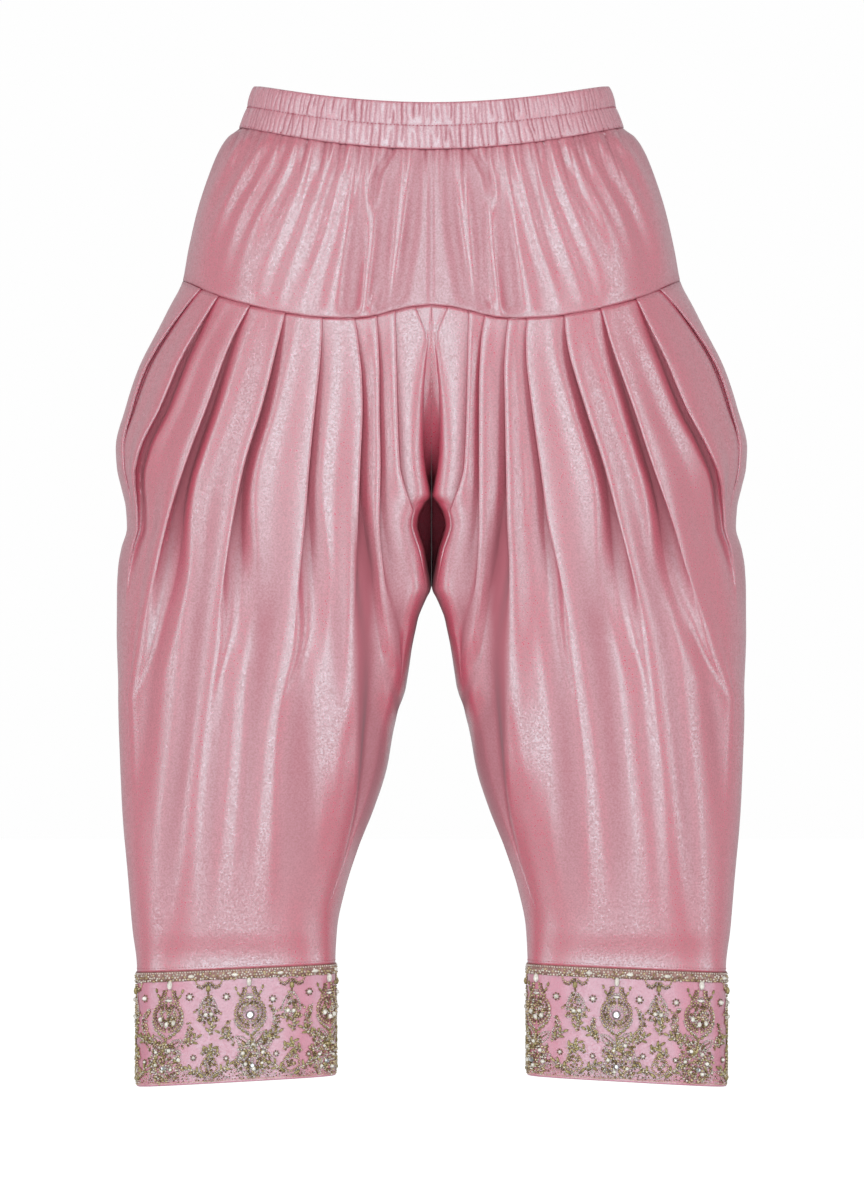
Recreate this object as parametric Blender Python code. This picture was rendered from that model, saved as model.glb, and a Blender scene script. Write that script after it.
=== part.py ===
"""Pleated salwar trousers of shimmering satin, filled out as when worn, in metres with +Z up.

The origin is the middle of the waist opening, the front faces -Y and the hems hang 0.9 m below it.
Every panel lies on one section curve that changes with the drop below the waist. On each side of the
centre plane a section has two quarter arcs: from the centre seam (or the inner leg) forward to the
apex of the leg, and from the apex out to the side seam. A position along it is t: 0 at the centre
seam, 1 at the apex, 2 at the side seam. All tables are in millimetres."""

import bpy
import numpy as np

MM = 0.001

# Walls, and the clearance that two sewn pieces keep at their seam
SATIN = 1.5
BAND_WALL = 3.2
CUFF_WALL = 2.2
TRIM_WALL = 2.0
SEAM_GAP = 0.3

# Waistband: two elastic channels, dipping at the centre of the front and a little at the back
BAND_SIDE_HEIGHT = 37.0
BAND_TOP_DIP = {"front": 17.5, "rear": 7.0}
BAND_FOOT_DIP = {"front": 22.5, "rear": 9.0}
CHANNEL_BULGE = 1.9
BAND_GATHERS = {"front": 50, "rear": 46}
BAND_GATHER_DEPTH = 1.1
BAND_ROWS = (
    # share of the height, bulge share, gather share
    (0.00, 0.0, 0.8),
    (0.25, 1.0, 1.0),
    (0.50, 0.0, 0.6),
    (0.75, 1.0, 1.0),
    (1.00, 0.0, 0.6),
)

# Yoke: gathers hang from the band and fade towards the pleat seam
YOKE_GATHERS = 26
YOKE_GATHER_DEPTH = 1.7
YOKE_ROWS = (0.0, 0.18, 0.42, 0.7, 1.0)

# Drop of the yoke's lower seam, by share of the half width from the centre to the side
YOKE_SEAM = {
    "front": (
        (0, 199), (0.08, 201), (0.15, 205), (0.23, 210), (0.3, 211), (0.41, 210), (0.56, 205), (0.72, 197),
        (0.84, 189), (1, 175),
    ),
    "rear": ((0, 206), (0.3, 205), (0.55, 200), (0.8, 189), (1, 175)),
}

# Cuffs: inner and outer side, and the top and the hem, which tilt down to the outer side
CUFF_SIDES = (86.5, 265.0)
CUFF_TOP = (789.0, 797.0)
CUFF_HEM = (889.0, 899.0)
CUFF_COLUMNS = 18
TRIM_BELOW_TOP = 2.0
TRIM_HEIGHT = 8.0

# Half sections of the whole garment: side is the half width, apex the offset of the foremost line
SECTION_COLUMNS = ("drop", "side", "apex", "front", "rear", "round_side", "round_inner")
SECTIONS = (
    (0, 160, 40, 90, 90, 2.3, 4.0),
    (37, 173, 44, 95, 96, 2.3, 4.0),
    (45, 183, 46, 97, 98, 2.3, 4.0),
    (55, 190, 48, 99, 101, 2.3, 4.0),
    (73, 198, 52, 102, 106, 2.3, 4.0),
    (110, 210, 60, 108, 115, 2.3, 4.0),
    (145, 218, 68, 112, 121, 2.3, 4.0),
    (175, 224, 76, 115, 125, 2.3, 4.0),
    (199, 236, 84, 117, 128, 2.3, 4.0),
    (217, 245, 92, 119, 130, 2.3, 4.0),
    (253, 263, 104, 123, 131, 2.3, 4.0),
    (289, 275, 112, 126, 131, 2.3, 4.0),
    (325, 284, 118, 127, 130, 2.3, 4.0),
    (343, 283, 120, 127, 130, 2.3, 4.0),
    (361, 279, 122, 126, 129, 2.3, 4.0),
    (379, 275, 124, 125, 128, 2.3, 4.0),
    (397, 274, 126, 124, 126, 2.3, 4.0),
    (415, 279, 129, 123, 125, 2.3, 4.0),
    (433, 282, 132, 121, 123, 2.3, 3.8),
    (455, 283, 137, 119, 121, 2.3, 3.2),
    (487, 283, 146, 114, 117, 2.3, 2.7),
    (541, 281, 152, 107, 109, 2.3, 2.5),
    (595, 279, 158, 97, 99, 2.3, 2.4),
    (649, 277, 164, 86, 87, 2.4, 2.4),
    (703, 273, 171, 72, 72, 2.6, 2.6),
    (757, 269, 175, 55, 55, 2.9, 2.9),
    (793, 265, 176, 43, 43, 3.2, 3.2),
    (899, 265, 176, 41, 41, 3.4, 3.4),
)

# The centre seam above the crotch and the inner leg seam below it. front and rear are where the two
# seams lie, inner is the half width of the hollow between the swags, then the inner side of the leg.
CENTRE_COLUMNS = ("drop", "front", "rear", "inner")
CENTRE = (
    (0, -89, 89, 0),
    (110, -107, 114, 0),
    (199, -116, 126, 0),
    (214, -116, 126, 1),
    (228, -114, 125, 4),
    (250, -106, 123, 10),
    (270, -98, 120, 13),
    (300, -88, 115, 14),
    (325, -79, 110, 12),
    (345, -70, 104, 8),
    (360, -62, 98, 3),
    (368, -57, 95, 0.4),
    (378, -48, 90, 8),
    (386, -18, 86, 11),
    (394, -6, 82, 12.6),
    (404, 2, 76, 10.5),
    (417, 11, 67, 6.5),
    (435, 22, 50, 3),
    (449, 29, 35, 0.5),
    (458, 30, 30, 0.5),
    (469, 29, 29, 8),
    (487, 27, 27, 14),
    (505, 25, 25, 18),
    (541, 21, 21, 24),
    (577, 17, 17, 35),
    (613, 13, 13, 41),
    (649, 9, 9, 52),
    (685, 6, 6, 66),
    (721, 3, 3, 78),
    (757, 1, 1, 85),
    (793, 0, 0, 86.5),
    (899, 0, 0, 86.5),
)
CROTCH_DROP = 458

# Knife pleats, a row for each from the side seam to the centre: where its folded edge lies, as the
# offset from the centre plane at these drops, then (tuck, deep, deep_drop, end_drop), which are its
# step at the yoke seam, its largest step and the drop of that, and the drop where it has faded out.
FOLD_DROPS = (200, 230, 290, 340, 390, 440, 500, 570, 640, 710, 793)
LEFT_FRONT_FOLDS = (
    ((213, 245, 275, 281, 272, 278, 281, 279, 275, 270, 263), (2.4, 6, 245, 335)),
    ((186, 199, 224, 247, 270, 275, 277, 276, 273, 268, 261), (2.4, 13, 300, 430)),
    ((150, 158, 178, 194, 211, 226, 248, 268, 270, 265, 257), (2.4, 16, 345, 640)),
    ((114, 119, 136, 152, 165, 178, 192, 202, 211, 216, 218), (2.4, 15, 350, 760)),
    ((80, 82, 89, 96, 103, 114, 125, 135, 144, 149, 152), (2.2, 10, 390, 740)),
    ((64, 64, 65, 66, 67, 69, 69, 71, 74, 84, 95), (2.2, 12, 450, 700)),
    ((45, 43, 42, 42, 41, 40, 37, 40, 53, 76, 91), (2.2, 8, 400, 540)),
    ((28, 29, 29, 30, 18, 8, 22, 37, 51, 75, 88), (2.0, 6, 330, 400)),
    ((14, 6, 17, 14, 13, 5, 19, 35, 50, 74, 87), (1.8, 2.5, 225, 250)),
)
RIGHT_FRONT_FOLDS = (
    ((215, 243, 270, 281, 272, 278, 281, 279, 275, 270, 263), (2.4, 6, 245, 335)),
    ((195, 214, 238, 261, 271, 275, 277, 276, 273, 268, 261), (2.4, 13, 300, 430)),
    ((162, 177, 198, 216, 231, 243, 256, 267, 269, 265, 257), (2.4, 17, 345, 640)),
    ((127, 135, 150, 165, 175, 183, 191, 202, 211, 217, 221), (2.4, 14, 350, 760)),
    ((92, 96, 103, 108, 112, 117, 123, 140, 145, 152, 156), (2.2, 11, 390, 740)),
    ((64, 63, 61, 63, 65, 67, 69, 70, 73, 84, 95), (2.2, 12, 450, 700)),
    ((46, 46, 46, 45, 46, 42, 38, 40, 53, 76, 91), (2.2, 8, 400, 540)),
    ((30, 30, 29, 28, 16, 8, 22, 37, 51, 75, 88), (2.0, 6, 330, 400)),
    ((14, 6, 13, 10, 13, 5, 19, 35, 50, 74, 87), (1.8, 2.5, 225, 250)),
)
REAR_FOLDS = (
    ((208, 226, 246, 260, 266, 270, 270, 268, 266, 262, 258), (2.4, 7, 260, 400)),
    ((178, 190, 208, 222, 233, 242, 249, 252, 252, 251, 248), (2.4, 12, 320, 540)),
    ((144, 152, 168, 182, 194, 205, 216, 226, 232, 236, 238), (2.4, 14, 350, 640)),
    ((110, 116, 128, 139, 149, 159, 171, 184, 194, 202, 207), (2.4, 13, 360, 740)),
    ((80, 84, 92, 98, 104, 111, 121, 134, 146, 156, 162), (2.2, 11, 390, 720)),
    ((54, 56, 60, 63, 66, 70, 76, 84, 92, 100, 108), (2.2, 10, 420, 680)),
    ((30, 31, 34, 37, 39, 42, 46, 52, 64, 82, 94), (2.0, 8, 380, 560)),
)
LEG_ROWS = (
    200, 228, 250, 272, 298, 325, 347, 368, 379, 394, 414, 436, 458, 478, 505, 541, 577, 613, 665, 725, 793,
)
PLEAT_SEAM_DROP = LEG_ROWS[0]
SEAM_CURVE_REACH = 60.0
CUFF_TILT_REACH = 90.0
RIDGE_SHARE = 0.35
MOUTH_LEAST = 2.5
MOUTH_PER_STEP = 0.7
TURN_SPACING = 0.05
PANEL_WITH_MIDDLE = 0.12

COLOURS = {
    "satin": (0.58, 0.24, 0.31, 1.0),
    "band": (0.60, 0.26, 0.33, 1.0),
    "cuff": (0.64, 0.28, 0.34, 1.0),
    "beads": (0.62, 0.56, 0.44, 1.0),
}


def table_column(table, columns, name, drop):
    """Reads one named column of a table at any drop, on straight lines between its rows."""
    rows = np.array(table, float)
    return np.interp(drop, rows[:, 0], rows[:, columns.index(name)])


def half_section(drop, t, facing, clear):
    """Offset from the centre plane and depth at position t, in mm. Each quarter is a superellipse arc.
    Near t = 0 the arc runs in to the centre seam, which is the floor of the hollow between the legs."""
    front = facing == "front"
    toward = -1.0 if front else 1.0
    side = table_column(SECTIONS, SECTION_COLUMNS, "side", drop)
    apex = table_column(SECTIONS, SECTION_COLUMNS, "apex", drop)
    depth = toward * table_column(SECTIONS, SECTION_COLUMNS, facing, drop)
    seam = table_column(CENTRE, CENTRE_COLUMNS, facing, drop)
    inner = table_column(CENTRE, CENTRE_COLUMNS, "inner", drop)
    if not front:
        inner = np.where(drop < CROTCH_DROP, 0.0, inner)
    inner = np.maximum(inner, clear)
    floor_share = np.clip(t / 0.03, 0.0, 1.0)
    start = np.where(drop < CROTCH_DROP, clear + (inner - clear) * floor_share, inner)
    power = 2.0 / table_column(SECTIONS, SECTION_COLUMNS, "round_inner", drop)
    angle = np.clip(t, 0.0, 1.0) * np.pi / 2
    x_inner = apex + (start - apex) * np.maximum(np.cos(angle), 0.0) ** power
    y_inner = seam + (depth - seam) * np.sin(angle) ** power
    power = 2.0 / table_column(SECTIONS, SECTION_COLUMNS, "round_side", drop)
    angle = np.clip(t - 1.0, 0.0, 1.0) * np.pi / 2
    x_outer = apex + (side - apex) * np.sin(angle) ** power
    y_outer = depth * np.maximum(np.cos(angle), 0.0) ** power
    return np.where(t < 1.0, x_inner, x_outer), np.where(t < 1.0, y_inner, y_outer)


def position_of_offset(drop, offset):
    """The t at which a front section has this offset from the centre plane."""
    side = table_column(SECTIONS, SECTION_COLUMNS, "side", drop)
    apex = table_column(SECTIONS, SECTION_COLUMNS, "apex", drop)
    inner = table_column(CENTRE, CENTRE_COLUMNS, "inner", drop)
    round_inner = table_column(SECTIONS, SECTION_COLUMNS, "round_inner", drop)
    round_side = table_column(SECTIONS, SECTION_COLUMNS, "round_side", drop)
    inward = np.clip((apex - offset) / (apex - inner), 0.0, 1.0)
    outward = np.clip((offset - apex) / (side - apex), 0.0, 1.0)
    t_inner = np.arccos(inward ** (round_inner / 2)) / (np.pi / 2)
    t_outer = 1.0 + np.arcsin(outward ** (round_side / 2)) / (np.pi / 2)
    return np.where(offset < apex, t_inner, t_outer)


def even_positions(count, drop, facing):
    """count + 1 positions from 0 to 2 that are evenly spaced along the section."""
    fine = np.linspace(0.0, 2.0, 400)
    x, y = half_section(np.full(fine.shape, float(drop)), fine, facing, 0.0)
    length = np.concatenate([[0.0], np.cumsum(np.hypot(np.diff(x), np.diff(y)))])
    return np.interp(np.linspace(0.0, length[-1], count + 1), length, fine)


def both_sides(positions):
    """Signed positions from one side seam to the other."""
    return np.concatenate([-positions[:0:-1], positions])


def grid_normals(points, facing):
    """Unit normals of a grid of points, turned to face forward or back."""
    normals = np.cross(np.gradient(points, axis=1), np.gradient(points, axis=0))
    normals /= np.maximum(np.linalg.norm(normals, axis=2, keepdims=True), 1e-12)
    toward = -1.0 if facing == "front" else 1.0
    return normals * (1.0 if normals[..., 1].mean() * toward > 0 else -1.0)


def level(normals):
    """The same normals without their vertical part."""
    flat = normals * (1.0, 1.0, 0.0)
    return flat / np.maximum(np.linalg.norm(flat, axis=-1, keepdims=True), 1e-12)


def new_material(name, colour, roughness):
    material = bpy.data.materials.new(name)
    material.use_nodes = True
    shader = material.node_tree.nodes["Principled BSDF"]
    shader.inputs["Base Color"].default_value = colour
    shader.inputs["Roughness"].default_value = roughness
    return material


def grid_faces(rows, columns, wrap_rows, wrap_columns):
    """Corner numbers of the quads of a grid, which may close on itself either way."""
    row = np.arange(rows if wrap_rows else rows - 1)[:, None]
    column = np.arange(columns if wrap_columns else columns - 1)[None, :]
    next_row = (row + 1) % rows
    next_column = (column + 1) % columns
    corners = (row * columns + column, row * columns + next_column,
               next_row * columns + next_column, next_row * columns + column)
    return np.stack([np.broadcast_to(c, (row.size, column.size)) for c in corners], axis=-1).reshape(-1, 4)


def add_solid(name, points, faces, material):
    """Makes the object, with its faces turned outward if the enclosed volume comes out negative."""
    corners = points[faces]
    across = np.cross(corners[:, 2] - corners[:, 0], corners[:, 3] - corners[:, 1])
    if (corners.mean(axis=1) * across).sum() < 0:
        faces = faces[:, ::-1]
    mesh = bpy.data.meshes.new(name)
    mesh.from_pydata((points * MM).tolist(), [], faces.tolist())
    mesh.materials.append(material)
    obj = bpy.data.objects.new(name, mesh)
    bpy.context.scene.collection.objects.link(obj)


def add_sheet_wall(name, outer, facing, thickness, material, square_ends, least_offset=None):
    """A wall on a grid of outer points: the inner face lies one thickness inside along the normals,
    which are level along the top and the foot so that the edges meet their neighbours squarely.
    square_ends marks the points of the first and last columns that lie on a side or inner leg seam,
    where the edge of the wall runs straight across."""
    normals = grid_normals(outer, facing)
    normals[[0, -1]] = level(normals[[0, -1]])
    inner = outer - thickness * normals
    for column in (0, -1):
        held = square_ends[column]
        inner[held, column, 1] = outer[held, column, 1]
    if least_offset is not None:
        inner[..., 0] = np.sign(outer[..., 0]) * np.maximum(np.abs(inner[..., 0]), least_offset)
    rows, columns = outer.shape[:2]
    faces = grid_faces(rows, columns, False, False)
    count = rows * columns
    rim = np.concatenate([
        np.arange(columns),
        np.arange(1, rows) * columns + columns - 1,
        (rows - 1) * columns + np.arange(columns - 2, -1, -1),
        np.arange(rows - 2, 0, -1) * columns,
    ])
    following = np.roll(rim, -1)
    sides = np.stack([following, rim, rim + count, following + count], axis=-1)
    points = np.concatenate([outer.reshape(-1, 3), inner.reshape(-1, 3)])
    add_solid(name, points, np.concatenate([faces, faces[:, ::-1] + count, sides]), material)


def add_ring(name, profile, material):
    """A closed ring from profile loops: one row of points all the way round for each profile point."""
    rows, columns = profile.shape[:2]
    add_solid(name, profile.reshape(-1, 3), grid_faces(rows, columns, True, True), material)


def band_line(ratio, facing, share):
    """Drop of a line along the waistband: share 0 is its top edge, 1 its foot."""
    arch = 1.0 - np.abs(ratio) ** 2
    top = BAND_TOP_DIP[facing] * arch
    foot = BAND_SIDE_HEIGHT + BAND_FOOT_DIP[facing] * arch
    return top + (foot - top) * share


def ring_outward(x, y):
    """Outward unit normals of a closed loop that runs anticlockwise seen from above."""
    along = np.stack([np.roll(x, -1) - np.roll(x, 1), np.roll(y, -1) - np.roll(y, 1)], axis=-1)
    along /= np.linalg.norm(along, axis=-1, keepdims=True)
    return along[:, 1], -along[:, 0]


def make_waistband(material):
    """A tube all the way round: gathers alternate in and out on the outside, the inside is plain."""
    signed, facings = [], []
    for facing, turn in (("front", 1), ("rear", -1)):
        half = turn * both_sides(even_positions(BAND_GATHERS[facing], BAND_SIDE_HEIGHT, facing))[:-1]
        signed.append(half)
        facings.append(facing)
    wave = np.where(np.arange(sum(half.size for half in signed)) % 2 == 0, 1.0, -1.0)
    inside = ((1.0, None, None), (0.0, None, None))
    loops = []
    for share, bulge, gather in BAND_ROWS + inside:
        x, y, z = [], [], []
        for facing, half in zip(facings, signed):
            nominal = np.full(half.shape, BAND_SIDE_HEIGHT * share)
            offset, depth = half_section(nominal, np.abs(half), facing, 0.0)
            x.append(offset * np.sign(half))
            y.append(depth)
            side = table_column(SECTIONS, SECTION_COLUMNS, "side", nominal)
            z.append(-band_line(offset / side, facing, share))
        x, y, z = np.concatenate(x), np.concatenate(y), np.concatenate(z)
        out_x, out_y = ring_outward(x, y)
        if bulge is None:
            shift = -BAND_WALL
        else:
            shift = CHANNEL_BULGE * bulge + BAND_GATHER_DEPTH * gather * wave
        loops.append(np.stack([x + out_x * shift, y + out_y * shift, z], axis=-1))
    add_ring("waistband", np.array(loops), material)


def width_share(drop, t, facing):
    """Offset at position t as a share of the section's half width."""
    level_drop = np.full(np.shape(t), float(drop))
    offset = half_section(level_drop, np.abs(t), facing, 0.0)[0]
    return offset / table_column(SECTIONS, SECTION_COLUMNS, "side", level_drop)


def yoke_seam_drop(ratio, facing):
    table = np.array(YOKE_SEAM[facing], float)
    return np.interp(np.abs(ratio), table[:, 0], table[:, 1])


def make_yoke(facing, material):
    """One hip panel from side seam to side seam, gathered into the band above."""
    t = both_sides(even_positions(YOKE_GATHERS, 110, facing))
    top = band_line(width_share(BAND_SIDE_HEIGHT, t, facing), facing, 1.0) + SEAM_GAP
    foot = yoke_seam_drop(width_share(PLEAT_SEAM_DROP, t, facing), facing) - SEAM_GAP
    share = np.array(YOKE_ROWS)[:, None]
    z = top + (foot - top) * share
    dip = (top - SEAM_GAP - BAND_SIDE_HEIGHT) * (1.0 - share)
    nominal = np.maximum(z - dip, BAND_SIDE_HEIGHT)
    x, y = half_section(nominal, np.abs(t) * np.ones(nominal.shape), facing, 0.0)
    points = np.stack([x * np.sign(t), y, -z], axis=-1)
    wave = np.where(np.arange(t.size) % 2 == 0, 1.0, -1.0)
    uneven = 0.8 + 0.3 * np.sin(2.4 * np.arange(t.size))
    fade = (1.0 - share) ** 1.3
    ends = np.clip((2.0 - np.abs(t)) / 0.1, 0.0, 1.0)
    points = points + level(grid_normals(points, facing)) * (
        YOKE_GATHER_DEPTH * wave * uneven * fade * ends)[..., None]
    toward = -1.0 if facing == "front" else 1.0
    points[:, [0, -1], 1] = toward * SEAM_GAP / 2
    all_rows = np.ones(len(YOKE_ROWS), bool)
    add_sheet_wall("yoke_" + facing, points, facing, SATIN, material, {0: all_rows, -1: all_rows})


def fold_step(row, drop):
    """Height of a pleat's step: its tuck at the seam, its largest step, and nothing where it ends."""
    tuck, deep, deep_drop, end_drop = row
    return np.interp(drop, (FOLD_DROPS[0], deep_drop, (deep_drop + end_drop) / 2, end_drop),
                     (tuck, deep, deep * 0.45, 0.0))


def make_leg_panel(name, side, facing, folds, material):
    """One leg panel. Its columns follow the pleats: for each one a valley on the centre side and a
    ridge beside it, and a middle column where the layer between two pleats is wide."""
    rows = np.array(LEG_ROWS, float)
    below_seam = np.clip(1.0 - (rows - rows[0]) / SEAM_CURVE_REACH, 0.0, 1.0)
    above_cuff = np.clip(1.0 - (rows[-1] - rows) / CUFF_TILT_REACH, 0.0, 1.0)
    lines = [np.zeros(rows.shape), np.full(rows.shape, 0.03)]
    shifts = [np.zeros(rows.shape), np.zeros(rows.shape)]
    least = 0.03
    previous = None
    for number, (offsets, row) in reversed(list(enumerate(folds))):
        ridge = position_of_offset(rows, np.interp(rows, FOLD_DROPS, offsets))
        least = least + TURN_SPACING * 1.6
        most = 2.0 - TURN_SPACING * (1.2 * number + 1.0)
        ridge = np.clip(ridge, least, most)
        step = fold_step(row, rows)
        side_width = table_column(SECTIONS, SECTION_COLUMNS, "side", rows)
        mouth = (MOUTH_LEAST + MOUTH_PER_STEP * step) / side_width
        valley = np.maximum(ridge - 2.0 * mouth, (lines[-1] + ridge) / 2)
        if previous is not None and (valley - lines[-1]).max() > PANEL_WITH_MIDDLE:
            lines.append((lines[-1] + valley) / 2)
            shifts.append((previous - (1.0 - RIDGE_SHARE) * step) / 2 + 0.08 * step)
        lines.append(valley)
        shifts.append(-(1.0 - RIDGE_SHARE) * step)
        lines.append(ridge)
        shifts.append(RIDGE_SHARE * step)
        previous = RIDGE_SHARE * step
    lines.extend([(lines[-1] + 2.0) / 2, np.full(rows.shape, 2.0)])
    shifts.extend([previous / 3, np.zeros(rows.shape)])
    t = np.stack(lines, axis=1)
    shift = np.stack(shifts, axis=1)
    clear = SEAM_GAP / 2
    seam = yoke_seam_drop(width_share(PLEAT_SEAM_DROP, t[0], facing), facing) + SEAM_GAP
    cuff_offset = half_section(np.full(t[-1].shape, rows[-1]), t[-1], facing, clear)[0]
    cuff = cuff_line(cuff_offset, CUFF_TOP) - SEAM_GAP
    drop = rows[:, None] + (seam - rows[0]) * below_seam[:, None] + (cuff - rows[-1]) * above_cuff[:, None]
    x, y = half_section(drop, t, facing, clear)
    points = np.stack([side * x, y, -drop], axis=-1)
    points = points + level(grid_normals(points, facing)) * shift[..., None]
    toward = -1.0 if facing == "front" else 1.0
    points[:, -1, 1] = toward * clear
    points[:, 0, 1] = points[:, 0, 1] + toward * clear
    points[..., 0] = side * np.maximum(np.abs(points[..., 0]), clear)
    square_ends = {0: rows >= CROTCH_DROP, -1: rows > 0}
    add_sheet_wall(name, points, facing, SATIN, material, square_ends, least_offset=clear)


def cuff_line(offset, ends):
    """Drop of a line round the cuff, tilted from its inner to its outer side."""
    return np.interp(offset, CUFF_SIDES, ends)


def cuff_ring(side, section_drop, line, shift):
    """One row of points round the cuff on the section at a drop, moved out by shift."""
    x, y = [], []
    for facing, turn in (("front", 1), ("rear", -1)):
        t = even_positions(CUFF_COLUMNS, section_drop, facing)[::turn][:-1]
        offset, depth = half_section(np.full(t.shape, float(section_drop)), t, facing, 0.0)
        x.append(offset)
        y.append(depth)
    x, y = np.concatenate(x), np.concatenate(y)
    out_x, out_y = ring_outward(x, y)
    return np.stack([side * (x + out_x * shift), y + out_y * shift, -line(x)], axis=-1)


def make_cuff(side, name, material):
    def top(offset):
        return cuff_line(offset, CUFF_TOP)

    def hem(offset):
        return cuff_line(offset, CUFF_HEM)

    top_section, hem_section = SECTIONS[-2][0], SECTIONS[-1][0]
    profile = [cuff_ring(side, top_section, top, 0.0), cuff_ring(side, hem_section, hem, 0.0),
               cuff_ring(side, hem_section, hem, -CUFF_WALL), cuff_ring(side, top_section, top, -CUFF_WALL)]
    add_ring(name, np.array(profile), material)


def make_trim(side, name, material):
    """The strip of beads sewn on below the cuff's top, from the cuff's own points moved out."""
    def upper(offset):
        return cuff_line(offset, CUFF_TOP) + TRIM_BELOW_TOP

    def lower(offset):
        return upper(offset) + TRIM_HEIGHT

    section = SECTIONS[-2][0]
    near = SEAM_GAP
    far = SEAM_GAP + TRIM_WALL
    profile = [cuff_ring(side, section, upper, far), cuff_ring(side, section, lower, far),
               cuff_ring(side, section, lower, near), cuff_ring(side, section, upper, near)]
    add_ring(name, np.array(profile), material)


for old in list(bpy.data.objects):
    bpy.data.objects.remove(old, do_unlink=True)

satin = new_material("satin", COLOURS["satin"], 0.4)
band_satin = new_material("gathered satin", COLOURS["band"], 0.45)
cuff_satin = new_material("cuff satin", COLOURS["cuff"], 0.5)
beads = new_material("glass beads", COLOURS["beads"], 0.25)

make_waistband(band_satin)
make_yoke("front", satin)
make_yoke("rear", satin)
for side, word, front_folds in ((1, "left", LEFT_FRONT_FOLDS), (-1, "right", RIGHT_FRONT_FOLDS)):
    make_leg_panel("leg_" + word + "_front", side, "front", front_folds, satin)
    make_leg_panel("leg_" + word + "_rear", side, "rear", REAR_FOLDS, satin)
    make_cuff(side, "cuff_" + word, cuff_satin)
    make_trim(side, "cuff_trim_" + word, beads)
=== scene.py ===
import bpy
import numpy as np
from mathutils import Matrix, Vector


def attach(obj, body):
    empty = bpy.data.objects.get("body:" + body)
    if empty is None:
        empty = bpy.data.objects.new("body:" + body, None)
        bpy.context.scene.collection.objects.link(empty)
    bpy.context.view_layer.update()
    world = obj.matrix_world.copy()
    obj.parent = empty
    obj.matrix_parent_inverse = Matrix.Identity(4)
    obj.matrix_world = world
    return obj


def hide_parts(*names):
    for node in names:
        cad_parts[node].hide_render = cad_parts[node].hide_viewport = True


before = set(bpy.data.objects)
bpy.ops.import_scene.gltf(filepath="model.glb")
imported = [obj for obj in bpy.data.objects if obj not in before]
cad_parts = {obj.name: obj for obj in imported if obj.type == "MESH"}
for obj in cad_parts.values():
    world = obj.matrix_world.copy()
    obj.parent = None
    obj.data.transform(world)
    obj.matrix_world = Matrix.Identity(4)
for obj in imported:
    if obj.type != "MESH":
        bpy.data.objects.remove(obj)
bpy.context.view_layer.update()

# Camera: a long lens 10 m in front of the garment, level with its middle, as in a studio shot of
# hung clothes. The frame is 1184 pixels of 0.9 mm high where the garment hangs.
CAMERA_DISTANCE = 10.0
CAMERA_AIM = (0.0005, 0.0, -0.4545)
FRAME_HEIGHT = 1184 * 0.0009
SENSOR = 36.0

camera_data = bpy.data.cameras.new("studio_camera")
camera_data.sensor_width = SENSOR
camera_data.lens = SENSOR * CAMERA_DISTANCE / FRAME_HEIGHT
camera = bpy.data.objects.new("studio_camera", camera_data)
camera.location = (CAMERA_AIM[0], CAMERA_AIM[1] - CAMERA_DISTANCE, CAMERA_AIM[2])
camera.rotation_euler = (np.pi / 2, 0.0, 0.0)
bpy.context.scene.collection.objects.link(camera)
bpy.context.scene.camera = camera
bpy.context.scene.view_settings.view_transform = "Standard"


# Studio: white surroundings, a pale matt floor a hand's width under the hems, one tall soft box in
# front, and two narrower ones that light the sides a little. The satin mirrors a dim room in front of
# it and a bright sweep behind it.
def linear(colour):
    """Linear RGBA of an sRGB hex colour: c / 12.92 near black, otherwise ((c + 0.055) / 1.055) ^ 2.4."""
    parts = np.array([int(colour[i:i + 2], 16) for i in (1, 3, 5)]) / 255
    return (*np.where(parts <= 0.04045, parts / 12.92, ((parts + 0.055) / 1.055) ** 2.4).tolist(), 1.0)


def add_node(tree, kind, inputs=(), **settings):
    """Adds a node with its settings. inputs holds pairs of a socket's name or number and its value, or
    the output that is linked to it."""
    node = tree.nodes.new(kind)
    for name, value in settings.items():
        setattr(node, name, value)
    for socket, value in inputs:
        if isinstance(value, bpy.types.NodeSocket):
            tree.links.new(value, node.inputs[socket])
        else:
            node.inputs[socket].default_value = value
    return node


# Sockets of a Mix node that mixes colours
MIX_A, MIX_B, MIX_RESULT = 6, 7, 2
FLOOR_DROP = 0.99
FLOOR_REACH = 14
ROOM_LIGHT = 0.28
BACKDROP_WHITE = 0.991
ROOM_SHINE = 0.14
SWEEP_SHINE = 0.9
SOFT_BOXES = (
    # name, place, width, height, watts
    ("soft_box_front", (-0.2, -4.6, -0.2), 2.8, 10.8, 245.0),
    ("soft_box_left", (-3.3, -2.5, -0.4), 1.7, 6.0, 72.0),
    ("soft_box_right", (3.3, -2.5, -0.4), 1.7, 6.0, 72.0),
)

world = bpy.data.worlds.new("white_studio")
bpy.context.scene.world = world
world.use_nodes = True
world.node_tree.nodes.clear()
seen = add_node(world.node_tree, "ShaderNodeLightPath")
direction = add_node(world.node_tree, "ShaderNodeSeparateXYZ", [
    ("Vector", add_node(world.node_tree, "ShaderNodeTexCoord").outputs["Generated"])])
backdrop_shine = add_node(world.node_tree, "ShaderNodeMapRange", [
    ("Value", direction.outputs["Y"]), ("From Min", -0.6), ("From Max", 0.5), ("To Min", ROOM_SHINE),
    ("To Max", SWEEP_SHINE)])
mirrored = add_node(world.node_tree, "ShaderNodeMix", [
    ("Factor", seen.outputs["Is Glossy Ray"]), ("A", ROOM_LIGHT), ("B", backdrop_shine.outputs["Result"])])
surroundings = add_node(world.node_tree, "ShaderNodeMix", [
    ("Factor", seen.outputs["Is Camera Ray"]), ("A", mirrored.outputs["Result"]), ("B", BACKDROP_WHITE)])
backdrop = add_node(world.node_tree, "ShaderNodeBackground", [
    ("Color", (1.0, 1.0, 1.0, 1.0)), ("Strength", surroundings.outputs["Result"])])
add_node(world.node_tree, "ShaderNodeOutputWorld", [("Surface", backdrop.outputs["Background"])])

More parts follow.
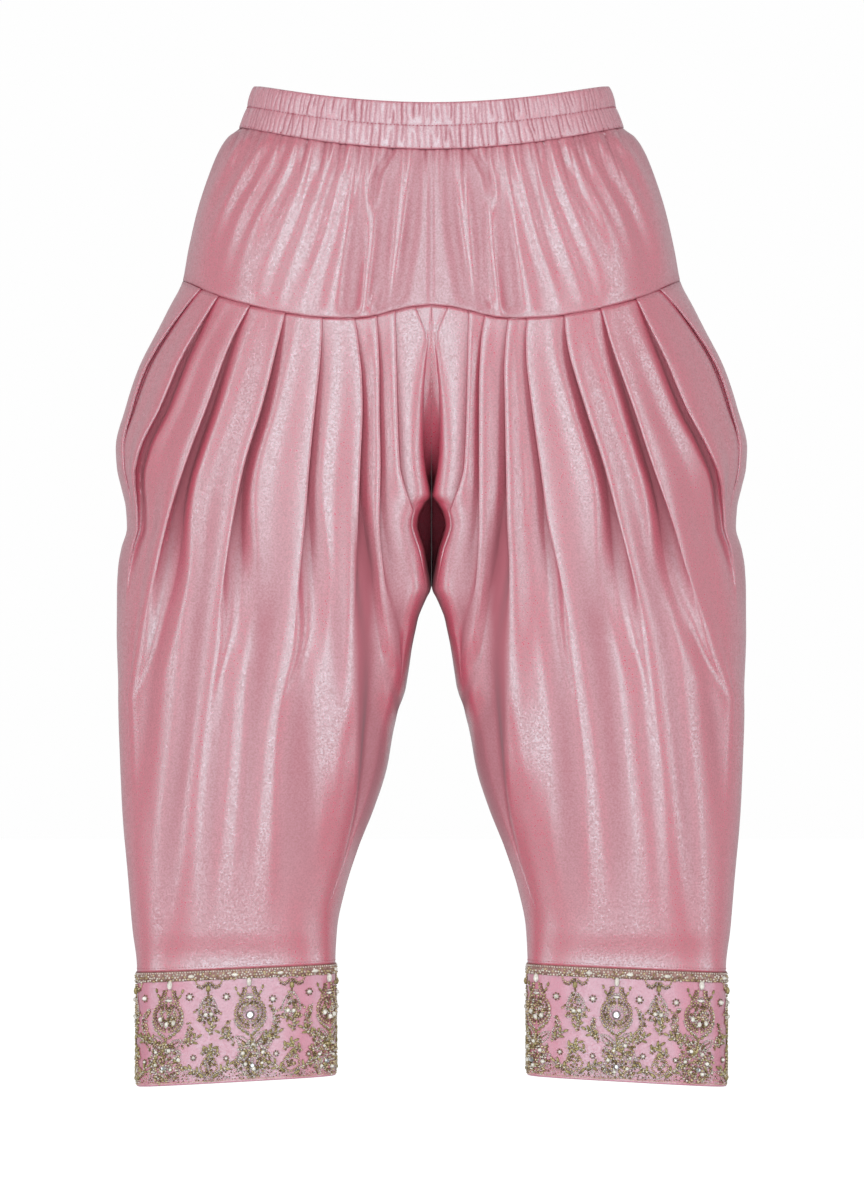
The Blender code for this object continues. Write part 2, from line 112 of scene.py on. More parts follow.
for name, place, width, height, watts in SOFT_BOXES:
    lamp = bpy.data.lights.new(name, "AREA")
    lamp.shape = "RECTANGLE"
    lamp.size = width
    lamp.size_y = height
    lamp.energy = watts
    lamp_object = bpy.data.objects.new(name, lamp)
    lamp_object.location = place
    aim = Vector(CAMERA_AIM) - Vector(place)
    lamp_object.rotation_euler = aim.to_track_quat("-Z", "Y").to_euler()
    lamp_object.visible_camera = False
    bpy.context.scene.collection.objects.link(lamp_object)

# Matt white vinyl sweep: lit to nearly paper white, so the hems' soft shadow is all that shows on it
floor_finish = bpy.data.materials.new("matt_white_vinyl")
floor_finish.use_nodes = True
floor_finish.node_tree.nodes.clear()
scuffs = add_node(floor_finish.node_tree, "ShaderNodeTexNoise", [("Scale", 3.0), ("Detail", 3.0)])
floor_tone = add_node(floor_finish.node_tree, "ShaderNodeMix", [
    ("Factor", scuffs.outputs["Fac"]), (MIX_A, linear("#FBFBFB")), (MIX_B, linear("#FFFFFF"))],
    data_type="RGBA")
floor_shader = add_node(floor_finish.node_tree, "ShaderNodeBsdfPrincipled", [
    ("Base Color", floor_tone.outputs[MIX_RESULT]), ("Roughness", 0.9),
    ("Emission Color", (1.0, 1.0, 1.0, 1.0)), ("Emission Strength", 0.75)])
add_node(floor_finish.node_tree, "ShaderNodeOutputMaterial", [("Surface", floor_shader.outputs["BSDF"])])
floor_mesh = bpy.data.meshes.new("floor")
floor_corners = [
    (x * FLOOR_REACH, y * FLOOR_REACH, -FLOOR_DROP) for x, y in ((-1, -1), (1, -1), (1, 1), (-1, 1))]
floor_mesh.from_pydata(floor_corners, [], [(0, 1, 2, 3)])
floor_mesh.materials.append(floor_finish)
floor = bpy.data.objects.new("floor", floor_mesh)
# The satin would mirror the paper-white floor and be lit by it, so only the camera sees it
floor.visible_diffuse = False
floor.visible_glossy = False
floor.visible_shadow = False
bpy.context.scene.collection.objects.link(floor)


# Waistband: one tube of the garment's satin with two elastic channels, sewn along its middle and foot.
# The elastic gathers the cloth into narrow creases that stop and start at each line of stitching.
MM = 0.001
# Level sections in mm, one to a row: drop below the waist, offset of the side seam and of the leg's apex
# from the centre plane, depth in front and behind, and the powers of the outer and the inner arcs
SECTION_COLUMNS = ("drop", "side", "apex", "front", "rear", "round_side", "round_inner")
SECTIONS = (
    (0, 160, 40, 90, 90, 2.3, 4.0),
    (37, 173, 44, 95, 96, 2.3, 4.0),
    (45, 183, 46, 97, 98, 2.3, 4.0),
    (55, 190, 48, 99, 101, 2.3, 4.0),
    (73, 198, 52, 102, 106, 2.3, 4.0),
    (110, 210, 60, 108, 115, 2.3, 4.0),
    (145, 218, 68, 112, 121, 2.3, 4.0),
    (175, 224, 76, 115, 125, 2.3, 4.0),
    (199, 236, 84, 117, 128, 2.3, 4.0),
    (217, 245, 92, 119, 130, 2.3, 4.0),
    (253, 263, 104, 123, 131, 2.3, 6.0),
    (289, 275, 112, 126, 131, 2.3, 7.5),
    (325, 284, 118, 127, 130, 2.3, 9.0),
    (343, 283, 120, 127, 130, 2.3, 11.0),
    (361, 279, 122, 126, 129, 2.3, 12.5),
    (379, 275, 124, 125, 128, 2.3, 12.0),
    (397, 274, 126, 124, 126, 2.3, 11.0),
    (415, 279, 129, 123, 125, 2.3, 10.5),
    (433, 282, 132, 121, 123, 2.3, 10.0),
    (455, 283, 137, 119, 121, 2.3, 10.0),
    (487, 283, 146, 114, 117, 2.3, 8.0),
    (541, 281, 152, 107, 109, 2.3, 5.0),
    (595, 279, 158, 97, 99, 2.3, 3.6),
    (649, 277, 164, 86, 87, 2.4, 2.9),
    (703, 273, 171, 72, 72, 2.6, 2.8),
    (757, 269, 175, 55, 55, 2.9, 2.9),
    (793, 265, 176, 43, 43, 3.2, 3.2),
    (899, 265, 176, 41, 41, 3.4, 3.4),
)
# Depth of the centre seam in front and behind, and offset of the inner leg, in mm
CENTRE_COLUMNS = ("drop", "front", "rear", "inner")
CENTRE = (
    (0, -89, 89, 0),
    (110, -107, 114, 0),
    (199, -116, 126, 0),
    (214, -117, 126, 0.5),
    (228, -117, 125, 2),
    (250, -115, 123, 5),
    (270, -111, 120, 6.5),
    (300, -102, 115, 7.5),
    (325, -88, 110, 7),
    (345, -66, 104, 5),
    (360, -36, 98, 2),
    (368, -17, 95, 0.4),
    (378, -8, 90, 8),
    (386, -3, 86, 11),
    (394, 2, 82, 12.6),
    (404, 7, 74, 10.5),
    (417, 12, 64, 6.5),
    (435, 18, 43, 3),
    (444, 20.5, 31, 1.2),
    (451, 22, 22, 0.5),
    (461, 23.5, 23.5, 5),
    (469, 24, 24, 8.5),
    (478, 24, 24, 12),
    (487, 24, 24, 14),
    (505, 23.5, 23.5, 18),
    (541, 21, 21, 24),
    (577, 17, 17, 35),
    (613, 13, 13, 41),
    (649, 9, 9, 52),
    (685, 6, 6, 66),
    (721, 3, 3, 78),
    (757, 1, 1, 85),
    (793, 0, 0, 86.5),
    (899, 0, 0, 86.5),
)
CROTCH_DROP = 451.0
SEAM_CLEARANCE = 0.02
BAND_SIDE_HEIGHT = 37.0
BAND_TOP_DIP = {"front": 17.5, "rear": 11.0}
BAND_FOOT_DIP = {"front": 22.5, "rear": 9.0}
BAND_COLUMNS = 800
BAND_ROWS = 25
BAND_WALL = 3.2
CHANNEL_BULGE = 1.4
CREASE_SPACING = (2.8, 6.4)
CREASE_DEPTH = (0.5, 1.7)
CREASE_WIDTH = (0.6, 1.0)
CHANNEL_ROUND = 0.55
# Reach of the painted shade along the middle and the foot stitching, as shares of the band's height
STITCH_SHADE_WIDTHS = (0.012, 0.02)
# Deep red of the painted shade in creases, pleat wedges, seams and hollows
PAINTED_SHADE_COLOUR = "#A82542"


def smooth_curve(x, knots, values):
    """Monotone cubic through the knots. Each knot's slope is the harmonic mean of the slopes beside it,
    or 0 where they turn."""
    knots, values = np.asarray(knots, float), np.asarray(values, float)
    gap = np.diff(knots)
    slope = np.diff(values) / gap
    same = slope[:-1] * slope[1:] > 0
    mean = 2 * slope[:-1] * slope[1:] / np.where(same, slope[:-1] + slope[1:], 1.0)
    tangent = np.concatenate([slope[:1], np.where(same, mean, 0.0), slope[-1:]])
    place = np.clip(np.searchsorted(knots, x, side="right") - 1, 0, gap.size - 1)
    u = np.clip((x - knots[place]) / gap[place], 0.0, 1.0)
    return ((1 + 2 * u) * (1 - u) ** 2 * values[place] + u * (1 - u) ** 2 * gap[place] * tangent[place]
            + u * u * (3 - 2 * u) * values[place + 1] - u * u * (1 - u) * gap[place] * tangent[place + 1])


def table_column(table, columns, name, drop):
    """One measure of a table of sections at these drops, on a smooth curve through its rows."""
    rows = np.array(table, float)
    return smooth_curve(drop, rows[:, 0], rows[:, columns.index(name)])


def arc(share, power):
    """A quarter of a unit superellipse of this power, from (1, 0) to (0, 1)."""
    angle = np.clip(share, 0.0, 1.0) * np.pi / 2
    across, along = np.maximum(np.cos(angle), 1e-9), np.maximum(np.sin(angle), 1e-9)
    radius = (across ** power + along ** power) ** (-1.0 / power)
    return radius * across, radius * along


def half_section(drop, t, facing, clear=0.0):
    """Offset from the centre plane and depth at position t: 0 is the centre seam or the inner leg, 1 the
    apex of the leg, 2 the side seam. Each quarter is a superellipse arc: its radius at an angle a is
    (cos a ^ n + sin a ^ n) ^ (-1/n)."""
    toward = -1.0 if facing == "front" else 1.0
    side = table_column(SECTIONS, SECTION_COLUMNS, "side", drop)
    apex = table_column(SECTIONS, SECTION_COLUMNS, "apex", drop)
    depth = toward * table_column(SECTIONS, SECTION_COLUMNS, facing, drop)
    seam = table_column(CENTRE, CENTRE_COLUMNS, facing, drop)
    inner = table_column(CENTRE, CENTRE_COLUMNS, "inner", drop)
    if facing == "rear":
        inner = np.where(drop < CROTCH_DROP, 0.0, inner)
    inner = np.maximum(inner, clear)
    floor_share = np.clip(t / 0.12, 0.0, 1.0)
    start = np.where(drop < CROTCH_DROP, clear + (inner - clear) * floor_share, inner)
    across, along = arc(t, table_column(SECTIONS, SECTION_COLUMNS, "round_inner", drop))
    x_inner = apex + (start - apex) * across
    y_inner = seam + (depth - seam) * along
    across, along = arc(t - 1.0, table_column(SECTIONS, SECTION_COLUMNS, "round_side", drop))
    x_outer = apex + (side - apex) * along
    y_outer = depth * across
    return np.where(t < 1.0, x_inner, x_outer), np.where(t < 1.0, y_inner, y_outer)


def even_positions(count, drop, facing):
    """count + 1 positions from 0 to 2 that are evenly spaced along the section."""
    fine = np.linspace(0.0, 2.0, 2000)
    x, y = half_section(np.full(fine.shape, float(drop)), fine, facing)
    length = np.concatenate([[0.0], np.cumsum(np.hypot(np.diff(x), np.diff(y)))])
    return np.interp(np.linspace(0.0, length[-1], count + 1), length, fine)


def both_sides(positions):
    """Positions from the far right to the far left, with the right side's counted as negative."""
    return np.concatenate([-positions[:0:-1], positions])


def band_line(ratio, facing, share):
    """Drop of a line along the waistband: share 0 is its top edge, 1 its foot, arched as 1 - ratio ^ 2."""
    arch = 1.0 - np.abs(ratio) ** 2
    top = BAND_TOP_DIP[facing] * arch
    return top + (BAND_SIDE_HEIGHT + BAND_FOOT_DIP[facing] * arch - top) * share


def ring_outward(x, y):
    """Outward normals of closed loops along the last axis that run anticlockwise seen from above."""
    along = np.stack([np.roll(line, -1, -1) - np.roll(line, 1, -1) for line in (x, y)], axis=-1)
    along /= np.maximum(np.linalg.norm(along, axis=-1, keepdims=True), 1e-9)
    return along[..., 1], -along[..., 0]


def band_ring(shares):
    """Points of the band's nominal surface, one row for each share of its height, all the way round."""
    x, y, drop = [], [], []
    for facing, turn in (("front", 1), ("rear", -1)):
        t = turn * both_sides(even_positions(BAND_COLUMNS // 2, BAND_SIDE_HEIGHT, facing))[:-1]
        nominal = BAND_SIDE_HEIGHT * shares[:, None] * np.ones(t.size)
        offset, depth = half_section(nominal, np.abs(t) * np.ones(nominal.shape), facing)
        side = table_column(SECTIONS, SECTION_COLUMNS, "side", nominal)
        x.append(offset * np.sign(t))
        y.append(depth)
        drop.append(band_line(offset / side, facing, shares[:, None]))
    return np.concatenate(x, axis=1), np.concatenate(y, axis=1), np.concatenate(drop, axis=1)


def grid_faces(rows, columns, wrap_rows, wrap_columns):
    """Corner numbers of the quads of a grid, which may close on itself either way."""
    row = np.arange(rows if wrap_rows else rows - 1)[:, None]
    column = np.arange(columns if wrap_columns else columns - 1)[None, :]
    below, right = (row + 1) % rows, (column + 1) % columns
    corners = (row * columns + column, row * columns + right,
               below * columns + right, below * columns + column)
    return np.stack([np.broadcast_to(c, (row.size, column.size)) for c in corners], axis=-1).reshape(-1, 4)


def add_piece(name, points, faces, finish, replaced=(), more_faces=()):
    """Makes a smooth-shaded mesh piece from points in millimetres. Its faces are turned round if the
    volume that they enclose comes out negative."""
    corners = points[faces]
    across = np.cross(corners[:, 2] - corners[:, 0], corners[:, -1] - corners[:, 1])
    inside_out = (corners.mean(axis=1) * across).sum() < 0
    every = [face[::-1] if inside_out else face for face in faces.tolist() + list(more_faces)]
    mesh = bpy.data.meshes.new(name)
    mesh.from_pydata((points * MM).tolist(), [], every)
    mesh.shade_smooth()
    mesh.materials.append(finish)
    piece = bpy.data.objects.new(name, mesh)
    bpy.context.scene.collection.objects.link(piece)
    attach(piece, "root")
    if replaced:
        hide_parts(*replaced)
    return piece


def add_tube(name, grid, finish, replaced):
    """A closed band from a grid of points whose rows run round it, down its face and up its back."""
    faces = grid_faces(grid.shape[0], grid.shape[1], True, True)
    return add_piece(name, grid.reshape(-1, 3), faces, finish, replaced)


def paint_shade(piece, amount):
    """Stores the painted shade of each point, from 0 to 1, where shade falls in creases, wedges, seams and
    hollows.
    """
    painted_shade = piece.data.attributes.new("painted_shade", "FLOAT", "POINT")
    values = np.zeros(len(piece.data.vertices), dtype=np.float32)
    values[:amount.size] = np.clip(amount, 0.0, 1.0).ravel()
    painted_shade.data.foreach_set("value", values)


def crease_field(around, height, perimeter, seed):
    """Depth of the gathers in one channel. Creases follow each other at uneven distances. Each is a
    sharp valley, exp(-distance / width), with its own depth, width and slant, and some end before they
    reach the stitching."""
    chance = np.random.default_rng(seed)
    places = np.cumsum(chance.uniform(*CREASE_SPACING, int(perimeter / CREASE_SPACING[0])))
    places = places[places < perimeter - CREASE_SPACING[0]]
    field = np.zeros(around.shape)
    for place in places:
        depth = chance.uniform(*CREASE_DEPTH)
        width = chance.uniform(*CREASE_WIDTH)
        slant = chance.normal(0.0, 0.9)
        ends = chance.uniform(-0.35, 1.4, 2)
        bend = chance.normal(0.0, 0.35)
        line = place + slant * (height - 0.5) + bend * np.sin(2 * np.pi * height)
        apart = (around - line + perimeter / 2) % perimeter - perimeter / 2
        reach = np.clip((height + ends[0]) * 4, 0, 1) * np.clip((1 - height + ends[1]) * 4, 0, 1)
        field -= depth * reach * np.exp(-np.abs(apart) / width)
    return field


def blank_finish(name):
    """An empty material, its node tree and the object coordinates in it."""
    finish = bpy.data.materials.new(name)
    finish.use_nodes = True
    tree = finish.node_tree
    tree.nodes.clear()
    return finish, tree, add_node(tree, "ShaderNodeTexCoord").outputs["Object"]


# Shimmer satin: long shiny floats over a matt back give broad soft highlights along each fold, and a fine
# metallic thread breaks them into a grain of about 1.5 mm, drawn a little coarser than the real thread.
# The thread is pale and hides the dye where it shines, so the specular tint holds back red. A painted-shade
# attribute mixes the colour towards a deep red and makes the satin duller: painted shade for the creases,
# pleat wedges, seams and hollows where shade falls. The IOR is well above plain polyester's, to stand for the
# metal in the thread, and was matched to the garment's shine.
def shimmer_satin(name, deep, body, glow, grain_mm, sheen):
    """Satin whose dye drifts between deep and body, and whose grain shines in the colour glow."""
    finish, tree, place = blank_finish(name)
    grain = add_node(tree, "ShaderNodeTexNoise", [
        ("Vector", place), ("Scale", 1000 / grain_mm), ("Detail", 2.0), ("Roughness", 0.7)])
    flecks = add_node(tree, "ShaderNodeMapRange", [
        ("Value", grain.outputs["Fac"]), ("From Min", 0.33), ("From Max", 0.67)])
    cloud = add_node(tree, "ShaderNodeTexNoise", [("Vector", place), ("Scale", 22.0), ("Detail", 3.0)])
    dye = add_node(tree, "ShaderNodeMix", [
        ("Factor", cloud.outputs["Fac"]), (MIX_A, linear(deep)), (MIX_B, linear(body))], data_type="RGBA")
    shine = add_node(tree, "ShaderNodeMix", [
        ("Factor", flecks.outputs["Result"]), (MIX_A, dye.outputs[MIX_RESULT]), (MIX_B, linear(glow))],
        data_type="RGBA")
    # Painted shade: the colour is mixed towards a deep red where the mesh's painted-shade attribute says
    painted_shade = add_node(tree, "ShaderNodeAttribute", attribute_name="painted_shade").outputs["Fac"]
    with_painted_shade = add_node(tree, "ShaderNodeMix", [
        ("Factor", painted_shade), (MIX_A, shine.outputs[MIX_RESULT]), (MIX_B, linear(PAINTED_SHADE_COLOUR))],
        data_type="RGBA")
    dulled = add_node(tree, "ShaderNodeMath", [
        (0, painted_shade), (1, -1.0), (2, 1.0)], operation="MULTIPLY_ADD")
    shining = add_node(tree, "ShaderNodeMath", [
        (0, flecks.outputs["Result"]), (1, dulled.outputs["Value"])], operation="MULTIPLY")
    smoothed = add_node(tree, "ShaderNodeMapRange", [
        ("Value", shining.outputs["Value"]), ("To Min", 0.55), ("To Max", 0.24)])
    gloss = add_node(tree, "ShaderNodeMath", [
        (0, painted_shade), (1, 0.4), (2, smoothed.outputs["Result"])], operation="MULTIPLY_ADD", use_clamp=True)
    weave = add_node(tree, "ShaderNodeBump", [
        ("Height", grain.outputs["Fac"]), ("Strength", 0.19), ("Distance", 0.0008)])
    shader = add_node(tree, "ShaderNodeBsdfPrincipled", [
        ("Base Color", with_painted_shade.outputs[MIX_RESULT]), ("Roughness", gloss.outputs["Value"]),
        ("IOR", 2.3), ("Specular IOR Level", sheen), ("Specular Tint", (0.32, 1.0, 1.0, 1.0)),
        ("Normal", weave.outputs["Normal"])])
    add_node(tree, "ShaderNodeOutputMaterial", [("Surface", shader.outputs["BSDF"])])
    return finish


# The band's satin is painted paler than the legs', a painted sheen: its small creases turn more of the pale
# thread to the light than the smooth panels do
band_satin = shimmer_satin("gathered_shimmer_satin", "#C25365", "#CA6072", "#DF7F90", 1.5, 0.78)
shares = np.linspace(0.0, 1.0, BAND_ROWS)
band_x, band_y, band_drop = band_ring(shares)
out_x, out_y = ring_outward(band_x, band_y)
step = np.hypot(np.roll(band_x, -1, 1) - band_x, np.roll(band_y, -1, 1) - band_y)
around = np.cumsum(step, axis=1) - step
perimeter = step.sum(axis=1, keepdims=True)
around_even = around / perimeter * perimeter.mean()
channel_height = (shares[:, None] * 2) % 1.0 * np.ones(around.shape)
channel_height[-1] = 1.0
upper = shares[:, None] < 0.5
creases = np.where(
    upper, crease_field(around_even, channel_height, perimeter.mean(), 11),
    crease_field(around_even, channel_height, perimeter.mean(), 23))
swell = np.sin(np.pi * channel_height) ** CHANNEL_ROUND
proud = CHANNEL_BULGE * swell + creases * (0.6 + 0.4 * swell)
inner_shares = np.array([1.0, 0.6, 0.2, 0.0])
inner_x, inner_y, inner_drop = band_ring(inner_shares)
inner_out_x, inner_out_y = ring_outward(inner_x, inner_y)
band_points = np.stack([
    np.concatenate([band_x + out_x * proud, inner_x - inner_out_x * BAND_WALL]),
    np.concatenate([band_y + out_y * proud, inner_y - inner_out_y * BAND_WALL]),
    np.concatenate([-band_drop, -inner_drop]),
], axis=-1)
band = add_tube("waistband_satin", band_points, band_satin, ["waistband"])
# Painted shade in the creases and along the two lines of stitching
stitch_shade = np.exp(-np.abs(shares[:, None] - 0.5) / STITCH_SHADE_WIDTHS[0])
stitch_shade = stitch_shade + np.exp(-(1.0 - shares[:, None]) / STITCH_SHADE_WIDTHS[1])
paint_shade(band, 0.6 * np.maximum(-creases, 0.0) ** 1.2 + 0.4 * stitch_shade)


# Yokes: a front and a back hip panel of the same satin, gathered into the foot of the waistband. The
# gathers fan out towards the sides and flatten before the curved seam that carries the pleated legs.
SEAM_GAP = 0.1
CLOTH = 0.8
YOKE_COLUMNS = {"front": 250, "rear": 130}
YOKE_ROWS = 79
BACK_STEP = 4
YOKE_SEAM = {
    "front": (
        (0, 199), (0.08, 201), (0.15, 205), (0.23, 210), (0.3, 211), (0.41, 210), (0.56, 205), (0.72, 197),
        (0.84, 189), (1, 175),
    ),
    "rear": ((0, 206), (0.3, 205), (0.55, 200), (0.8, 189), (1, 175)),
}
YOKE_MIDDLE_DROP = 110
YOKE_FOOT_DROP = 199
GATHER_SPACING = (4.2, 8.2)
GATHER_COUNT = 100
GATHER_START = -235.0
GATHER_DEPTH = (1.2, 3.4)
GATHER_WIDTH = 1.9
GATHER_REACH = (0.07, 0.24)
RIDGE_FADE = 12.0
RIDGE_LEFT_AT_SEAM = 0.2
RIDGE_SHIFT = 1.6
RIDGE_STRENGTH = (1.2, 1.5)
# Share of a ridge's height at the band, and what it gains down to the seam
RIDGE_GROWTH = (0.7, 1.9)
# Ridges nearer the centre than this are lower, wider and rounder, and fully so this span further in
MIDDLE_OFFSET = 160.0
MIDDLE_SPAN = 70.0
MIDDLE_LOWER = 0.28
MIDDLE_WIDER = 0.25
MIDDLE_ROUNDER = 0.6
# Depth and reach in mm of the turned edges at the seam and at the band
SEAM_ROLL = (0.4, 0.6)
BAND_ROLL = (0.6, 0.8)
RIDGE_SHARES = (0.0, 0.2, 0.5, 0.8, 1.0)
# A row for each large gather of the front: its offset at those shares of the yoke's height, its height at
# the band, at the middle and at the seam, and its width at the band and at the seam
YOKE_RIDGES = (
    ((0, 0, 0, 0, 0), (-0.4, -0.6, -0.4), (1.4, 1.4)),
    ((11, 15, 19, 27, 32), (-1.2, -1.8, -0.9), (2.6, 6)),
    ((21, 26, 31, 35, 38), (1.2, 1.5, 0.0), (3.0, 7)),
    ((30, 37, 43, 46, 47), (-0.6, -1.4, -1.2), (3.0, 7)),
    ((35, 50, 57, 60, 62), (-3.4, -0.5, 0.0), (2.4, 5)),
    ((40, 42, 44, 46, 54), (0.6, 0.2, 1.5), (2.6, 3)),
    ((46, 56, 53, 57, 61), (0.8, 1.6, 1.9), (3.0, 5)),
    ((56, 64, 67, 69, 71), (-0.8, -1.5, -1.4), (2.4, 6)),
    ((61, 68, 77, 87, 93), (1.9, 1.7, 0.9), (3.2, 8)),
    ((66, 74, 84, 97, 104), (-0.6, -1.1, -0.9), (2.4, 7)),
    ((72, 80, 92, 106, 114), (1.8, 1.5, 0.9), (3.0, 10)),
    ((81, 89, 101, 116, 124), (-0.5, -1.0, -0.6), (2.6, 8)),
    ((90, 98, 112, 126, 134), (2.0, 1.4, 0.7), (3.2, 10)),
    ((106, 115, 133, 152, 160), (2.2, 1.8, 0.9), (3.6, 12)),
    ((119, 131, 152, 168, 176), (2.2, 1.8, 0.6), (3.8, 10)),
    ((133, 146, 168, 183, 190), (1.9, 1.5, 0.3), (3.6, 9)),
    ((146, 164, 186, 200, 206), (2.0, 1.6, 0.2), (4.0, 9)),
    ((160, 180, 198, 208, 214), (1.8, 1.1, 0.1), (3.6, 8)),
)


def width_share(drop, t, facing):
    """Offset at position t as a share of the section's half width."""
    even = np.full(np.shape(t), float(drop))
    return half_section(even, np.abs(t), facing)[0] / table_column(SECTIONS, SECTION_COLUMNS, "side", even)


def yoke_seam_drop(ratio, facing):
    """Drop of the yoke's curved foot at an offset given as a share of the half width."""
    table = np.array(YOKE_SEAM[facing], float)
    return smooth_curve(np.abs(ratio), table[:, 0], table[:, 1])


def level_normals(drop, t, facing, clear=0.0):
    """Unit normals of the sections, in plan: square to the step from just before t to just after it."""
    before = half_section(drop, np.clip(t - 0.004, 0.0, 2.0), facing, clear)
    after = half_section(drop, np.clip(t + 0.004, 0.0, 2.0), facing, clear)
    along = np.stack([after[0] - before[0], after[1] - before[1]], axis=-1)
    along /= np.maximum(np.linalg.norm(along, axis=-1, keepdims=True), 1e-9)
    turn = 1.0 if facing == "front" else -1.0
    return turn * along[..., 1], -turn * along[..., 0]


def add_cloth(name, outer, normals, finish, replaced):
    """A closed cloth shell. The back lies one cloth's thickness behind the outer points, has the same
    columns and every fourth row, and the rims join the two."""
    rows, columns = outer.shape[:2]
    kept = np.unique(np.append(np.arange(0, rows, BACK_STEP), rows - 1))
    back = outer[kept] - CLOTH * normals[kept]
    count = rows * columns
    front_faces = grid_faces(rows, columns, False, False)
    back_faces = grid_faces(kept.size, columns, False, False)[:, ::-1] + count
    along = np.arange(columns - 1)
    top = np.stack([along + 1, along, along + count, along + count + 1], axis=-1)
    low = (rows - 1) * columns + along
    low_back = count + (kept.size - 1) * columns + along
    foot = np.stack([low, low + 1, low_back + 1, low_back], axis=-1)
    rims = []
    for number, (start, end) in enumerate(zip(kept[:-1], kept[1:])):
        for column, turn in ((0, 1), (columns - 1, -1)):
            edge = [int(row * columns + column) for row in range(start, end + 1)]
            edge += [int(count + (number + 1) * columns + column), int(count + number * columns + column)]
            rims.append(edge[::turn])
    points = np.concatenate([outer.reshape(-1, 3), back.reshape(-1, 3)])
    faces = np.concatenate([front_faces, back_faces, top, foot])
    return add_piece(name, points, faces, finish, replaced, rims)


def smooth_step(x):
    """Rises from 0 to 1 as x does, level at both ends: x ^ 2 (3 - 2 x)."""
    x = np.clip(x, 0.0, 1.0)
    return x * x * (3 - 2 * x)


def yoke_relief(offset, share, seed):
    """Height of the gathers over the yoke: a round-topped ridge for each row of the table, with its line,
    height and width changing down the panel, and narrow gathers that die out just under the band."""
    chance = np.random.default_rng(seed)
    relief = np.zeros(offset.shape)
    side = np.sign(offset)
    for lines, heights, widths in YOKE_RIDGES:
        for half in (-1, 1):
            shift = chance.uniform(-RIDGE_SHIFT, RIDGE_SHIFT)
            middle = smooth_step((MIDDLE_OFFSET - lines[2]) / MIDDLE_SPAN)
            strength = chance.uniform(*RIDGE_STRENGTH) * (1.0 - MIDDLE_LOWER * middle)
            line = smooth_curve(share, RIDGE_SHARES, lines) + shift
            height = strength * (RIDGE_GROWTH[0] + RIDGE_GROWTH[1] * share)
            height = height * smooth_curve(share, (0.0, 0.5, 1.0), heights)
            width = (1.1 + MIDDLE_WIDER * middle) * (widths[0] + (widths[1] - widths[0]) * share ** 0.8)
            ridge = np.exp(-np.abs((np.abs(offset) - line) / width) ** (2.0 + MIDDLE_ROUNDER * middle))
            relief += np.where(side == half, height * ridge, 0.0)
    places = np.cumsum(chance.uniform(*GATHER_SPACING, GATHER_COUNT)) + GATHER_START
    small = np.zeros(offset.shape)
    for place in places:
        fan = place * (1.0 + 0.3 * share)
        reach = np.exp(-(share / chance.uniform(*GATHER_REACH)) ** 1.5)
        small += chance.uniform(*GATHER_DEPTH) * np.exp(-np.abs(offset - fan) / GATHER_WIDTH) * reach
    return relief - small, small


def add_yoke(facing, finish, seed):
    """One hip panel on the body's sections, from the band's foot to the curved seam, with its gathers."""
    t = both_sides(even_positions(YOKE_COLUMNS[facing], YOKE_MIDDLE_DROP, facing))
    top = band_line(width_share(BAND_SIDE_HEIGHT, t, facing), facing, 1.0) + SEAM_GAP
    foot = yoke_seam_drop(width_share(YOKE_FOOT_DROP, t, facing), facing) - SEAM_GAP
    share = np.linspace(0.0, 1.0, YOKE_ROWS)[:, None] ** 1.15
    drop = top + (foot - top) * share
    nominal = np.maximum(drop - (top - SEAM_GAP - BAND_SIDE_HEIGHT) * (1.0 - share), BAND_SIDE_HEIGHT)
    position = np.abs(t) * np.ones(nominal.shape)
    offset, depth = half_section(nominal, position, facing)
    offset = offset * np.sign(t)
    out_x, out_y = level_normals(nominal, position, facing)
    out_x = out_x * np.sign(t)
    ends = np.clip((2.0 - np.abs(t)) / 0.05, 0.0, 1.0)
    relief, small = yoke_relief(offset, share * np.ones(nominal.shape), seed)
    by_seam = smooth_step((foot - drop) / RIDGE_FADE)
    relief = relief * ends * (RIDGE_LEFT_AT_SEAM + (1.0 - RIDGE_LEFT_AT_SEAM) * by_seam)
    rolled = -SEAM_ROLL[0] * np.exp(-(foot - drop) / SEAM_ROLL[1])
    rolled = rolled - BAND_ROLL[0] * np.exp(-(drop - top) / BAND_ROLL[1])
    outer = np.stack([offset + out_x * (relief + rolled), depth + out_y * (relief + rolled), -drop], axis=-1)
    outer[:, [0, -1], 1] = (-1.0 if facing == "front" else 1.0) * SEAM_GAP / 2
    normals = np.stack([out_x, out_y, np.zeros(out_x.shape)], axis=-1)
    piece = add_cloth("yoke_" + facing + "_satin", outer, normals, finish, ["yoke_" + facing])
    # Painted shade where the cloth is drawn in: in small gathers, at both seams and between ridges
    sewn = np.exp(-(foot - drop) / 0.7) + np.exp(-(drop - top) / 0.7)
    hollow_shade = np.clip(0.4 - (relief + small) / 2.0, 0.0, 1.0)
    paint_shade(piece, 0.8 * (small / 2.8) ** 2 + 0.25 * sewn + 0.4 * hollow_shade * ends)


satin = shimmer_satin("shimmer_satin", "#B63549", "#BE3B50", "#DA5A73", 1.7, 0.8)
add_yoke("front", satin, 5)
add_yoke("rear", satin, 8)


# Legs: four satin panels, pleated into the yoke with knife pleats whose folded edges face the centre.
# Below the seam the pleats open into rounded folds that die out before the cuff.
PLEAT_SEAM_DROP = 200.0
CUFF_TOP = (789.0, 797.0)
CUFF_SIDES = (86.5, 265.0)
CUFF_TOP_DROP = 793.0
SEAM_CURVE_REACH = 60.0
CUFF_TILT_REACH = 90.0
RIDGE_SHARE = 0.4
DIVE_WIDTH = 15.0
LEG_ROWS = {"front": 180, "rear": 120}
COLUMN_SPACING = 2.5
MOUTH_COLUMNS = 7
NOSE_ANGLES = (0.4, 0.8, 1.2, np.pi / 2)
NOSE = (2.2, 1.3)
